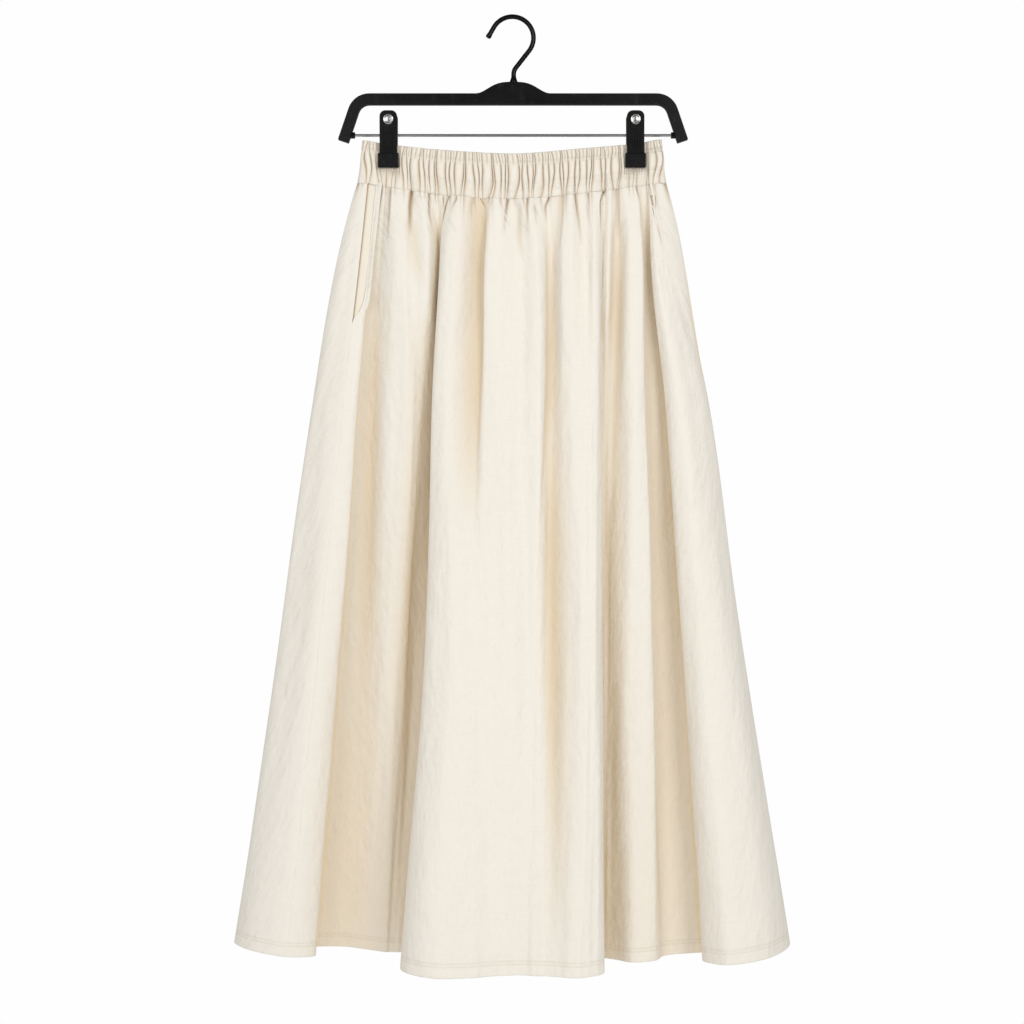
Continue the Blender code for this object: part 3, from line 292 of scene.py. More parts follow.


# A negative depth is a ridge. Left and right are as seen from outside the panel.
# Wide creases get painted shade in their hollows, and narrow ones along their bottoms.
FRONT_CREASES = (
    Crease("left panel pinch", -143.0, -145.6, -149.0, -185.3, -202.6, -219.9, 1.6, 1.3, 1.8, 1.3),
    Crease("left recess mark", -133.6, -134.6, -136.3, -187.4, -215.5, -248.0, 3.5, 1.2, 1.6, 1.2),
    Crease("left recess, by the panel", -150.0, -156.0, -176.0, -300.0, -480.0, -1010.0, 9.0, 10.0, 0.7, 2.0),
    Crease("left recess, by the middle", -92.0, -109.0, -128.0, -330.0, -620.0, -1010.0, 12.0, 8.0, 0.5, 1.9),
    Crease("left pinch 1", -110.3, -111.4, -110.3, -188.5, -208.0, -242.6, 2.2, 2.2, 2.6, 2.2),
    Crease("left pinch 1, tail", -111.4, -107.1, -99.5, -223.1, -253.4, -296.6, 4.5, 5.0, 1.2, 1.2),
    Crease("left pinch 2", -90.9, -90.9, -87.1, -189.6, -208.0, -232.8, 1.3, 1.6, 2.4, 1.8),
    Crease("left short pinch", -75.7, -75.2, -75.2, -197.1, -203.6, -213.4, 1.2, 1.4, 1.6, 1.0),
    Crease("middle left edge", -68.7, -73.6, -77.9, -195.0, -209.0, -233.9, 1.6, 1.3, 2.6, 2.0),
    Crease("middle pinch 1", -61.1, -64.4, -68.1, -198.2, -204.7, -215.5, 1.4, 1.2, 1.8, 1.0),
    Crease("middle soft 1", -43.3, -44.4, -46.5, -196.1, -208.0, -233.9, 2.2, 2.2, 1.2, 0.9),
    Crease("middle v, left leg", -35.2, -33.0, -30.8, -197.1, -203.1, -209.0, 1.0, 1.0, 1.6, 1.4),
    Crease("middle dip 1, deep side", -30.9, -32.5, -43.0, -196.0, -275.0, -560.0, 13.0, 3.6, 1.8, 3.8),
    Crease("middle short pinch", -14.1, -13.0, -11.4, -198.2, -203.6, -211.2, 1.1, 1.1, 1.4, 0.8),
    Crease("middle pinch 2", -5.4, -7.6, -9.8, -198.2, -214.4, -238.2, 1.5, 1.5, 2.4, 1.6),
    Crease("middle soft 2", 6.5, 6.5, 8.6, -208.0, -226.3, -266.4, 3.2, 2.6, 0.9, 1.0),
    Crease("middle pinch 3", 16.2, 15.1, 16.2, -196.1, -210.1, -244.7, 1.4, 1.6, 2.4, 1.5),
    Crease("middle pinch 4", 22.7, 23.8, 25.9, -198.2, -210.1, -231.8, 1.5, 1.3, 1.3, 0.9),
    Crease("middle pinch 5", 38.9, 35.1, 36.7, -197.1, -208.0, -227.4, 1.5, 1.5, 2.2, 1.4),
    Crease("middle dip 3, deep side", 37.0, 36.5, 29.5, -222.0, -390.0, -560.0, 1.6, 9.5, 0.3, 2.6),
    Crease("middle dip 3, lower", 38.0, 41.0, 43.0, -400.0, -640.0, -1000.0, 5.0, 12.0, 0.5, 2.8),
    Crease("middle edge 3 mark", 54.1, 53.0, 49.7, -195.0, -216.6, -262.0, 5.5, 1.2, 2.2, 1.5),
    Crease("middle pinch 6", 67.0, 69.7, 74.6, -190.7, -212.3, -251.2, 1.5, 2.4, 2.4, 1.4),
    Crease("middle short pinch 2", 81.1, 81.3, 82.7, -189.6, -205.8, -231.8, 1.4, 1.5, 2.2, 1.3),
    Crease("right lip pinch", 99.5, 94.6, 95.4, -186.3, -203.6, -237.2, 1.2, 1.7, 2.8, 2.2),
    Crease("right soft 1", 111.4, 113.5, 113.5, -182.0, -203.6, -253.4, 2.6, 2.8, 1.2, 1.4),
    Crease("right fold, upper", 112.0, 112.0, 109.0, -225.0, -320.0, -480.0, 6.5, 7.0, 0.8, 2.0),
    Crease("right ridge edge", 134.1, 137.3, 138.4, -184.2, -199.3, -233.9, 1.4, 1.4, 1.6, 1.2),
    Crease("right pocket crease", 154.1, 154.9, 154.1, -180.9, -197.1, -214.4, 1.1, 1.2, 1.8, 1.4),
    Crease("right pocket lip", 147.0, 153.5, 163.3, -182.0, -214.4, -253.4, 1.3, 1.3, 1.9, 1.5),
)

PANEL_COLUMNS = 600
COLUMN_LENGTH = 0.030
COLUMN_TURN = math.radians(28)
COLUMN_LEVELS = (0.02, 0.15, 0.55, 1.0)
READINGS_EACH_FOLD = 12
TOP_ROWS = 38
TOP_SHARE = 0.085
LONG_ROWS = 96
HEM_SHARE = 0.975
HEM_ROWS = 22
HEM_LINES = (0.0106, 0.0140)
STITCH_SINK = 0.0004
GATHERS_EACH_SIDE = 57
GATHER_DEPTH_ON_PANEL = 0.0017
GATHER_LEAST_WIDTH = 0.24
GATHER_END_LEAST = 0.007
GATHER_END_MORE = 0.013
PINCH_PULL = 0.72
PINCH_REACH = 0.0080
PINCH_FREE_END = 0.014
CREASE_SHOULDER = 0.40
CREASE_SHOULDER_WIDTH = 2.6
CREASE_START = 0.006
CREASE_STRENGTH = 1.5
CREASE_SHARP_SHARE = 0.45
CREASE_SHARP_WIDTH = 0.42
CREASE_NARROW = 4.4
# Painted shade: how strongly the warm and the dark shade are painted in folds, hollows, crease bottoms,
# gather valleys and along the hem stitching.
FOLD_PAINTED_SHADE = 0.88
FOLD_PAINTED_SHADE_POWER = 2.8
CREASE_PAINTED_SHADE = 0.92
CREASE_PAINTED_SHADE_WIDTH = 0.62
CREASE_PAINTED_SHADE_DEPTH = 0.0030
HOLLOW_DEPTH = 0.0038
HOLLOW_WARM_PAINTED_SHADE = 0.90
HOLLOW_DARK_PAINTED_SHADE = 0.24
GATHER_PAINTED_SHADE = 0.85
STITCH_PAINTED_SHADE = 0.08
STITCH_WIDTH = 0.0009
EDGE_EASE = 0.6
SOFT_SWELL = 0.0011
SHUT_EASE = 0.004

# The open mouth of the left pocket: where the front panel's edge lies, as a share of the way from
# the side seam to the left panel lip, at each height
POCKET_EDGE_Z = (-0.1800, -0.2200, -0.2600, -0.3000, -0.3200, -0.3290)
POCKET_EDGE_SHARE = (0.86, 0.80, 0.86, 0.78, 0.40, 0.00)
MOUTH_REACH = 2.5

RING = FRONT_FOLDS + BACK_FOLDS
X_COLUMNS = ("x_seam", "x_hip", "x_thigh", "x_knee", "x_hem")
Y_COLUMNS = ("y_seam", "y_hip", "y_thigh", "y_knee", "y_hem")


def smooth(knots, values, at):
    """The value at each place of a cubic that runs through the knots and never overshoots them."""
    knots = np.asarray(knots, float)
    values = np.asarray(values, float)
    at = np.clip(np.asarray(at, float), knots[0], knots[-1])
    step = np.diff(knots)
    slope = np.diff(values) / step
    tangent = np.zeros(len(knots))
    tangent[0] = slope[0]
    tangent[-1] = slope[-1]
    same_way = slope[:-1] * slope[1:] > 0
    weight_a = 2 * step[1:] + step[:-1]
    weight_b = step[1:] + 2 * step[:-1]
    with np.errstate(divide="ignore", invalid="ignore"):
        harmonic = (weight_a + weight_b) / (weight_a / slope[:-1] + weight_b / slope[1:])
    tangent[1:-1] = np.where(same_way, harmonic, 0.0)
    i = np.clip(np.searchsorted(knots, at, side="right") - 1, 0, len(step) - 1)
    t = (at - knots[i]) / step[i]
    return (
        (1 + 2 * t) * (1 - t) ** 2 * values[i]
        + t * (1 - t) ** 2 * step[i] * tangent[i]
        + t * t * (3 - 2 * t) * values[i + 1]
        + t * t * (t - 1) * step[i] * tangent[i + 1]
    )


def seam_height(x):
    """Height of the waist seam at x."""
    return smooth([row.x_seam for row in WAISTBAND], [row.z_seam for row in WAISTBAND], x)


def hem_height(x):
    """Height of the hem at x: it hangs lowest in the middle."""
    return Z_HEM_MIDDLE + HEM_RISE_AT_SIDES * (np.asarray(x) / HEM_HALF_WIDTH) ** 2


def fold_line(row, drops):
    """Where one fold lies at each share of the drop from the waist seam to the hem."""
    top = float(seam_height(row.x_seam)) - SEAM_GAP / 2
    bottom = float(hem_height(row.x_hem))
    down = [-height for height in (top, Z_HIP, Z_THIGH, Z_KNEE, bottom)]
    z = top + (bottom - top) * np.asarray(drops, float)
    x = smooth(down, [getattr(row, key) for key in X_COLUMNS], -z)
    y = smooth(down, [getattr(row, key) for key in Y_COLUMNS], -z)
    return np.stack([x, y, z], axis=1)


def sections(drops, at):
    """Points round the skirt at every share of the drop; `at` counts folds from the left side seam."""
    count = len(RING)
    spare = 3
    lines = np.stack([fold_line(row, drops) for row in RING])
    folds = lines[np.arange(-spare, count + spare + 1) % count]
    step = np.linalg.norm(np.diff(folds, axis=0), axis=2) ** 0.5
    before, after = step[:-1, :, None], step[1:, :, None]
    into = (folds[1:-1] - folds[:-2]) / before
    out_of = (folds[2:] - folds[1:-1]) / after
    tangent = (into * after + out_of * before) / (before + after)
    at = np.broadcast_to(np.asarray(at, float), (len(drops), np.shape(at)[-1]))
    i = np.clip(np.floor(at).astype(int), -1, count) + spare
    t = (at + spare - i)[:, :, None]
    level = np.arange(len(drops))[:, None]
    width = step[i, level][:, :, None]
    return (
        (1 + 2 * t) * (1 - t) ** 2 * folds[i, level]
        + t * (1 - t) ** 2 * width * tangent[i - 1, level]
        + t * t * (3 - 2 * t) * folds[i + 1, level]
        + t * t * (t - 1) * width * tangent[i, level]
    )


def columns_between(first, last, count):
    """Fold counts of a panel's columns: closer together where the cloth is long or turns most."""
    fine = np.linspace(first, last, (last - first) * READINGS_EACH_FOLD + 1)
    effort = np.zeros(len(fine) - 1)
    for level in sections(COLUMN_LEVELS, fine):
        way = np.diff(level[:, :2], axis=0)
        heading = np.unwrap(np.arctan2(way[:, 1], way[:, 0]))
        effort += np.linalg.norm(way, axis=1) / COLUMN_LENGTH + np.abs(np.gradient(heading)) / COLUMN_TURN
    total = np.concatenate([[0], np.cumsum(effort)])
    return np.interp(np.linspace(0, total[-1], count + 1), total, fine)


def mouth_start(z):
    """Where the front panel starts at a height, in folds from the left side seam."""
    down = [-height for height in POCKET_EDGE_Z]
    return np.where(z > POCKET_EDGE_Z[-1], smooth(down, POCKET_EDGE_SHARE, -z), 0.0)


def outward(points):
    """The direction out of the cloth at every point of a grid whose rows run downwards."""
    down = np.gradient(points, axis=0)
    along = np.gradient(points, axis=1)
    out = np.cross(down, along)
    return out / np.maximum(np.linalg.norm(out, axis=2), 1e-12)[:, :, None]


def arc_lengths(points):
    """How far along its row each point of a grid lies."""
    step = np.linalg.norm(np.diff(points, axis=1), axis=2)
    return np.concatenate([np.zeros((len(points), 1)), np.cumsum(step, axis=1)], axis=1)


def crease_relief(points, side, creases):
    """How far a panel's points are pressed in, and how near they lie to the narrow and the wide creases."""
    arc = arc_lengths(points)
    relief = np.zeros(arc.shape)
    bottoms = np.zeros(arc.shape)
    hollows = np.zeros(arc.shape)
    for crease in creases:
        z_line = np.array([-crease.z_top, -crease.z_mid, -crease.z_foot]) / 1000
        x_line = np.array([crease.x_top, crease.x_mid, crease.x_foot]) / 1000
        depths = np.array([crease.depth_top, crease.depth_mid, 0.0]) / 1000
        for r, row in enumerate(points):
            if -row[:, 2].max() > z_line[-1]:
                break
            off = row[:, 0] - smooth(z_line, x_line, -row[:, 2])
            met = np.nonzero(off[:-1] * off[1:] <= 0)[0]
            if not len(met):
                continue
            c = met[np.argmax(side * row[met, 1])]
            down = -row[c, 2]
            if down > z_line[-1] or down < z_line[0] - CREASE_START:
                continue
            middle = arc[r, c] + (arc[r, c + 1] - arc[r, c]) * off[c] / (off[c] - off[c + 1] + 1e-12)
            away = arc[r] - middle
            width = np.where(away < 0, crease.left, crease.right) / 1000
            valley = np.exp(-0.5 * (away / width) ** 2)
            sharp = np.exp(-0.5 * (away / width / CREASE_SHARP_WIDTH) ** 2)
            shoulder = np.exp(-0.5 * (away / width / CREASE_SHOULDER_WIDTH) ** 2)
            narrow = min(1.0, CREASE_NARROW / (crease.left + crease.right))
            core = CREASE_SHARP_SHARE * narrow
            shape = (1 - core) * valley + core * sharp - CREASE_SHOULDER * shoulder
            fade = np.clip((down - z_line[0] + CREASE_START) / CREASE_START, 0, 1)
            depth = CREASE_STRENGTH * smooth(z_line, depths, down) * fade
            relief[r] += depth * shape
            shade = np.exp(-0.5 * (away / width / CREASE_PAINTED_SHADE_WIDTH) ** 2)
            bottoms[r] = np.maximum(bottoms[r], shade * narrow**2 * np.clip(depth / CREASE_PAINTED_SHADE_DEPTH, 0, 1))
            hollow = valley * (1 - narrow**2) * np.clip(depth / HOLLOW_DEPTH, 0, 1)
            hollows[r] = np.maximum(hollows[r], hollow)
    return relief, bottoms, hollows


def gather_edges(share, seed):
    """Where the valleys between half the waist's gathers lie along it, from 0 to 1, at a height."""
    turn = np.arange(GATHERS_EACH_SIDE + 1)
    place = turn + 0.34 * np.sin(turn * 2.4 + seed) + 0.22 * np.sin(turn * 1.07 + 2 * seed)
    bow = 0.20 * np.sin(turn * 3.7 + seed) * np.sin(math.pi * share)
    place += bow + 0.08 * np.sin(turn * 1.9 + 7.0 * share)
    place += 0.16 * np.sin(turn * 0.55 + seed) * (share - 0.5)
    width = np.maximum(np.diff(place), GATHER_LEAST_WIDTH)
    return np.concatenate([[0], np.cumsum(width) / width.sum()])


def drawn_in(x_top, share, pinches):
    """The waist's x at a height, with the gathers drawn together towards the pinches at the seam."""
    to_end = np.minimum(x_top - WAISTBAND[0].x_top, WAISTBAND[-1].x_top - x_top)
    free = np.clip(to_end / PINCH_FREE_END, 0, 1)
    for pinch in pinches:
        away = (x_top - pinch) / PINCH_REACH
        pull = free * PINCH_PULL * smooth([0.45, 1.0], [0, 1], share) * PINCH_REACH
        x_top = x_top - pull * away * np.exp(-away**2)
    return x_top


def at_the_seam(x_top):
    """The x at the seam of a place given by its x along the waist's top edge."""
    return smooth([row.x_top for row in WAISTBAND], [row.x_seam for row in WAISTBAND], x_top)


def roll(place):
    """Height of a gather from 0 to 1: a round crest between two narrow valleys, at -1 and 1."""
    return (1 - np.abs(np.clip(place, -1, 1)) ** 2.2) ** 0.75


def gather_height(k, seed, share):
    """How tall each gather is at a height, as a share of the tallest."""
    return 0.50 + 0.50 * (1 + np.sin(k * 2.3 + seed + 1.5 * share) * np.cos(k * 0.37 + seed)) / 2


def gather_relief(points, seed, pinches):
    """The ends of the waist gathers, which run out on the panel just below the seam."""
    first, last = WAISTBAND[0].x_top, WAISTBAND[-1].x_top
    valleys = at_the_seam(drawn_in(first + gather_edges(1.0, seed) * (last - first), 1.0, pinches))
    x = np.clip(points[1, :, 0], valleys[0], valleys[-1] - 1e-6)
    k = np.clip(np.searchsorted(valleys, x, side="right") - 1, 0, GATHERS_EACH_SIDE - 1)
    place = 2 * (x - valleys[k]) / (valleys[k + 1] - valleys[k]) - 1
    uneven = (1 + np.sin(k * 2.9 + seed)) * (1 + np.sin(k * 1.31 + 2 * seed)) / 4
    length = GATHER_END_LEAST + GATHER_END_MORE * uneven
    below = points[0, :, 2] - points[:, :, 2]
    fade = np.exp(-((below / length) ** 1.4))
    height = roll(place) * gather_height(k, seed, 1.0)
    return GATHER_DEPTH_ON_PANEL * (0.55 - height) * fade, (1 - roll(place)) ** 1.5 * fade


def pinched_at(creases):
    """The x of every crease that starts at the waist seam."""
    return [crease.x_top / 1000 for crease in creases if crease.z_top > -200]


def soft_unevenness(points, at, seed):
    """Slow swells of the cloth, about a millimetre, running down with the folds."""
    down = -points[:, :, 2]
    wave = 0.45 * np.sin(2.3 * at + 7.0 * down + seed) + 0.35 * np.sin(4.1 * at - 11.0 * down + 2 * seed)
    wave += 0.25 * np.sin(1.3 * at + 26.0 * down + 3 * seed) + 0.2 * np.sin(7.3 * at + 17.0 * down + seed)
    return SOFT_SWELL * wave * np.clip((down - 0.19) / 0.08, 0, 1)


def closed_in(points, side):
    """How far each point of a panel is shut in by the folds on either side of it, from 0 to 1."""
    shut = np.zeros(points.shape[:2])
    for r, row in enumerate(points):
        # Where the back panel wraps round to the front, it is seen from the front
        outer = np.where((side > 0) & (row[:, 1] > 0), 1.0, -1.0)
        away = row[None, :, 0] - row[:, None, 0]
        over = outer[:, None] * (row[None, :, 1] - row[:, None, 1])
        climb = np.where(over > 0, over / np.hypot(over, np.abs(away) + SHUT_EASE), 0)
        shut[r] = np.sqrt(np.where(away < 0, climb, 0).max(axis=1) * np.where(away > 0, climb, 0).max(axis=1))
    return shut


def fixed(name, data):
    """An object in the scene by the given name, on the part's one body."""
    made = bpy.data.objects.new(name, data)
    bpy.context.scene.collection.objects.link(made)
    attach(made, "root")
    return made


def cloth(name, points, across, folded, painted_dark_shade, finish):
    """A sheet of cloth from a grid of points, with its flat size in metres as its UV map and the amounts of
    painted warm and dark shade on its points.
    """
    rows, columns = points.shape[:2]
    mesh = bpy.data.meshes.new(name)
    index = np.arange(rows * columns).reshape(rows, columns)
    quads = np.stack([index[:-1, :-1], index[1:, :-1], index[1:, 1:], index[:-1, 1:]], axis=2).reshape(-1, 4)
    mesh.vertices.add(rows * columns)
    mesh.vertices.foreach_set("co", points.reshape(-1).astype(np.float32))
    mesh.loops.add(quads.size)
    mesh.loops.foreach_set("vertex_index", quads.reshape(-1).astype(np.int32))
    mesh.polygons.add(len(quads))
    mesh.polygons.foreach_set("loop_start", np.arange(0, quads.size, 4, dtype=np.int32))
    mesh.update(calc_edges=True)
    mesh.validate()
    down = np.linalg.norm(np.diff(points, axis=0), axis=2)
    down = np.concatenate([np.zeros((1, columns)), np.cumsum(down, axis=0)], axis=0)
    flat = np.stack([across, -down], axis=2).reshape(-1, 2)
    layer = mesh.uv_layers.new(name="flat cloth")
    layer.data.foreach_set("uv", flat[quads.reshape(-1)].reshape(-1).astype(np.float32))
    # Painted shade: the warm and the dark shade amounts, read by the cotton's colour.
    for label, amount in (("folded", folded), ("painted_dark_shade", painted_dark_shade)):
        shade = mesh.attributes.new(label, "FLOAT", "POINT")
        shade.data.foreach_set("value", np.clip(amount, 0, 1).reshape(-1).astype(np.float32))
    mesh.materials.append(finish)
    mesh.shade_smooth()
    return fixed(name, mesh)


def node_group(name, ins, outs):
    """An empty shader node group with its sockets, and its input and output nodes."""
    group = bpy.data.node_groups.new(name, "ShaderNodeTree")
    for label, kind, value in ins:
        socket = group.interface.new_socket(label, in_out="INPUT", socket_type=kind)
        socket.default_value = value
    for label, kind in outs:
        group.interface.new_socket(label, in_out="OUTPUT", socket_type=kind)
    return group, group.nodes.new("NodeGroupInput"), group.nodes.new("NodeGroupOutput")


def add_node(tree, kind, settings=(), **links):
    """A node with its settings, its sockets linked or given a value by their names or numbers."""
    node = tree.nodes.new(kind)
    for key, value in dict(settings).items():
        setattr(node, key, value)
    for key, value in links.items():
        socket = node.inputs[int(key[1:])] if key[0] == "n" and key[1:].isdigit() else node.inputs[key]
        if isinstance(value, bpy.types.NodeSocket):
            tree.links.new(value, socket)
        else:
            socket.default_value = value
    return node


def math_node(tree, operation, a, b=0.0):
    """A Math node's result."""
    return add_node(tree, "ShaderNodeMath", {"operation": operation}, n0=a, n1=b).outputs[0]


def stretched_noise(tree, place, stretch, detail):
    """Noise read at a place whose axes are each scaled first, from 0 to 1."""
    moved = add_node(tree, "ShaderNodeMapping", {}, Vector=place, Scale=stretch)
    noise = add_node(tree, "ShaderNodeTexNoise", {}, Vector=moved.outputs[0], Scale=1.0, Detail=detail)
    return noise.outputs["Fac"]


def mix_node(tree, amount, a, b):
    """Two colours mixed by an amount."""
    return add_node(tree, "ShaderNodeMix", {"data_type": "RGBA"}, n0=amount, n6=a, n7=b).outputs[2]


def cotton_weave_and_painted_shade():
    """The woven cotton: threads that cross, thicker and thinner ones, and fine crumpling, and its colour with
    the painted warm and dark shade mixed in.
    """
    group, given, result = node_group(
        "cotton weave and painted shade",
        [(label, "NodeSocketColor", colour) for label, colour in COTTON_COLOURS_AND_PAINTED_SHADES.items()]
        + [("Threads", "NodeSocketFloat", THREADS_A_METRE), ("Crumple", "NodeSocketFloat", 1.0)],
        [("Colour", "NodeSocketColor"), ("Roughness", "NodeSocketFloat"), ("Height", "NodeSocketFloat")],
    )
    place = add_node(group, "ShaderNodeUVMap", {"uv_map": "flat cloth"}).outputs[0]
    apart = add_node(group, "ShaderNodeSeparateXYZ", {}, Vector=place)
    turns = math_node(group, "MULTIPLY", given.outputs["Threads"], 2 * math.pi)
    warp = math_node(group, "SINE", math_node(group, "MULTIPLY", apart.outputs[0], turns))
    weft = math_node(group, "SINE", math_node(group, "MULTIPLY", apart.outputs[1], turns))
    crossing = math_node(group, "MULTIPLY", warp, weft)
    slub_down = stretched_noise(group, place, (900.0, 28.0, 1.0), 1.5)
    slub_across = stretched_noise(group, place, (24.0, 800.0, 1.0), 1.5)
    slubs = math_node(group, "ADD", slub_down, slub_across)
    crumple = stretched_noise(group, place, (150.0, 70.0, 1.0), 3.0)
    pucker = stretched_noise(group, place, (52.0, 26.0, 1.0), 2.0)
    broad = stretched_noise(group, place, (9.0, 4.0, 1.0), 2.0)
    threads = math_node(group, "MULTIPLY", crossing, 0.00003)
    uneven = math_node(group, "MULTIPLY", slubs, 0.00011)
    fine = math_node(group, "MULTIPLY", crumple, 0.0012)
    coarse = math_node(group, "MULTIPLY", pucker, 0.0028)
    rumple = math_node(group, "MULTIPLY", math_node(group, "ADD", fine, coarse), given.outputs["Crumple"])
    height = math_node(group, "ADD", math_node(group, "ADD", threads, uneven), rumple)
    thick = math_node(group, "MULTIPLY", math_node(group, "SUBTRACT", slubs, 1.0), 0.55)
    patchy = math_node(group, "MULTIPLY", math_node(group, "SUBTRACT", broad, 0.35), 0.45)
    shade = math_node(group, "ADD", thick, patchy)
    colour = mix_node(group, shade, given.outputs["Colour"], given.outputs["Slub Colour"])
    # Painted shade: the colour is mixed towards the painted warm and dark shade by the amounts on the cloth's
    # points.
    for label, shaded in (("folded", "Painted Warm Shade"), ("painted_dark_shade", "Painted Dark Shade")):
        amount = add_node(group, "ShaderNodeAttribute", {"attribute_name": label}).outputs["Fac"]
        colour = mix_node(group, amount, colour, given.outputs[shaded])
    rough = math_node(group, "ADD", math_node(group, "MULTIPLY", slubs, 0.06), 0.84)
    group.links.new(colour, result.inputs["Colour"])
    group.links.new(rough, result.inputs["Roughness"])
    group.links.new(height, result.inputs["Height"])
    return group


WEAVE_AND_PAINTED_SHADE = cotton_weave_and_painted_shade()


def new_material(name):
    """A new material, with its node tree and its shader."""
    made = bpy.data.materials.new(name)
    made.use_nodes = True
    return made, made.node_tree, made.node_tree.nodes["Principled BSDF"]


def feed(tree, shader, colour, rough, height, strength=1.0):
    """Gives a shader its colour, its roughness and its relief."""
    bump = add_node(tree, "ShaderNodeBump", {}, Height=height, Strength=strength, Distance=1.0)
    tree.links.new(colour, shader.inputs["Base Color"])
    tree.links.new(rough, shader.inputs["Roughness"])
    tree.links.new(bump.outputs["Normal"], shader.inputs["Normal"])


def cotton_material(name, crumple):
    """Cream cotton: the weave's colour with its painted shade, roughness and relief, with a faint bloom of
    loose fibres.
    """
    made, tree, shader = new_material(name)
    weave = add_node(tree, "ShaderNodeGroup", {"node_tree": WEAVE_AND_PAINTED_SHADE}, Crumple=crumple)
    for label, colour in COTTON_COLOURS_AND_PAINTED_SHADES.items():
        weave.inputs[label].default_value = colour
    feed(tree, shader, weave.outputs["Colour"], weave.outputs["Roughness"], weave.outputs["Height"])
    shader.inputs["Specular IOR Level"].default_value = 0.15
    shader.inputs["Sheen Weight"].default_value = 0.06
    shader.inputs["Sheen Roughness"].default_value = 0.6
    made.diffuse_color = CREAM
    return made


cotton = cotton_material("cream cotton", 1.0)


def turned_under(points, out, seam_in):
    """A panel's grid with its two side edges and its hem turned under, and its top let into the band."""
    along = np.gradient(points, axis=1)
    along /= np.linalg.norm(along, axis=2)[:, :, None]

    def edge(c, way):
        p, o, a = points[:, c], out[:, c], along[:, c] * way
        return [p - a * 0.00014 - o * 0.00012, p - a * 0.00010 - o * 0.0008, p + a * seam_in - o * 0.0013]

    left, right = edge(0, 1), edge(-1, -1)
    sides = [left[2], left[1], left[0]] + [points[:, c] for c in range(points.shape[1])] + right
    grid = np.stack(sides, axis=1)
    wide = np.concatenate([out[:, :1]] * 3 + [out] + [out[:, -1:]] * 3, axis=1)
    under = []
    for turn in (50, 100, 145, 180):
        angle = math.radians(turn)
        lower = grid[-1] - wide[-1] * HEM_FOLD / 2 * (1 - math.cos(angle))
        under.append(lower + np.array([0, 0, -HEM_FOLD / 2 * math.sin(angle)]))
    up = -1 - int(np.searchsorted(grid[::-1, 0, 2] - grid[-1, 0, 2], HEM_TURN_UP))
    middle = (len(grid) + up + len(grid) - 1) // 2
    under.append(grid[middle] - wide[middle] * HEM_FOLD)
    under.append(grid[up] - wide[up] * HEM_FOLD)
    let_in = [grid[0] - wide[0] * back + np.array([0, 0, rise]) for back, rise in LET_IN]
    return np.concatenate([np.stack(let_in), grid, np.stack(under)])


def panel_drops():
    """Shares of the drop with a row of points: close together near the waist seam."""
    near = np.linspace(0, TOP_SHARE, TOP_ROWS, endpoint=False)
    long = np.linspace(TOP_SHARE, HEM_SHARE, LONG_ROWS, endpoint=False)
    return np.concatenate([near, long, np.linspace(HEM_SHARE, 1, HEM_ROWS)])


def panel_grid(first, last, side, seed, creases, mouth=False):
    """One panel's face as a grid of points, with its creases, the ends of its gathers and the shade painted
    into its folds and creases.
    """
    drops = panel_drops()
    at = np.tile(columns_between(first, last, PANEL_COLUMNS), (len(drops), 1))
    if mouth:
        z = sections(drops, np.array([0.0]))[:, 0, 2]
        at += mouth_start(z)[:, None] * np.clip(1 - at / MOUTH_REACH, 0, 1)
    points = sections(drops, at)
    out = outward(points)
    relief, bottoms, hollows = crease_relief(points, side, creases)
    gathers, valleys = gather_relief(points, seed, pinched_at(creases))
    edges = np.clip(np.minimum(at - at[:, :1], at[:, -1:] - at) / EDGE_EASE, 0, 1)
    relief += gathers + soft_unevenness(points, at, seed) * edges
    above_hem = points[:, :, 2] - points[-1, :, 2]
    sunk = sum(np.exp(-(((above_hem - line) / STITCH_WIDTH) ** 2)) for line in HEM_LINES)
    relief += STITCH_SINK * sunk
    points = points - out * relief[:, :, None]
    # Painted shade: warm where folds shut the cloth in and in the hollows of wide creases.
    folded = np.maximum(FOLD_PAINTED_SHADE * closed_in(points, side) ** FOLD_PAINTED_SHADE_POWER, HOLLOW_WARM_PAINTED_SHADE * hollows)
    # Painted shade: dark in narrow crease bottoms and gather valleys, lighter over wide hollows and along the
    # hem stitching.
    narrow = CREASE_PAINTED_SHADE * np.maximum(bottoms, GATHER_PAINTED_SHADE * valleys)
    painted_dark_shade = np.maximum(narrow, HOLLOW_DARK_PAINTED_SHADE * hollows) + STITCH_PAINTED_SHADE * sunk
    return points, out, folded, painted_dark_shade


def padded_out(shade):
    """A panel's shades after its edges are turned under: two rows more above, six below, three aside."""
    return np.pad(shade, ((2, 6), (3, 3)), mode="edge")


def sewn_panel(name, first, last, side, seed, creases, mouth=False):
    """One panel as a piece, with its face and the directions out of it."""
    face, out, folded, painted_dark_shade = panel_grid(first, last, side, seed, creases, mouth)
    grid = turned_under(face, out, SEAM_TURN_IN)
    across = arc_lengths(grid) - arc_lengths(grid)[:, grid.shape[1] // 2, None]
    return cloth(name, grid, across, padded_out(folded), padded_out(painted_dark_shade), cotton), face, out


front_panel, front_face, front_out = sewn_panel(
    "skirt_front", 0, len(FRONT_FOLDS), -1, FRONT_SEED, FRONT_CREASES, mouth=True
)
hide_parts("front_panel")

# Pocket facing: the strip of the left in-seam pocket that shows in its open mouth. It is the same
# cotton, sewn to the back panel's edge and lying behind the front panel's.
FACING_SETBACK = 0.0009
FACING_UNDERLAP = 0.35
FACING_DROP = 0.178
FACING_LEAST_SHARE = 0.30
FACING_ROWS = 60
FACING_COLUMNS = 16
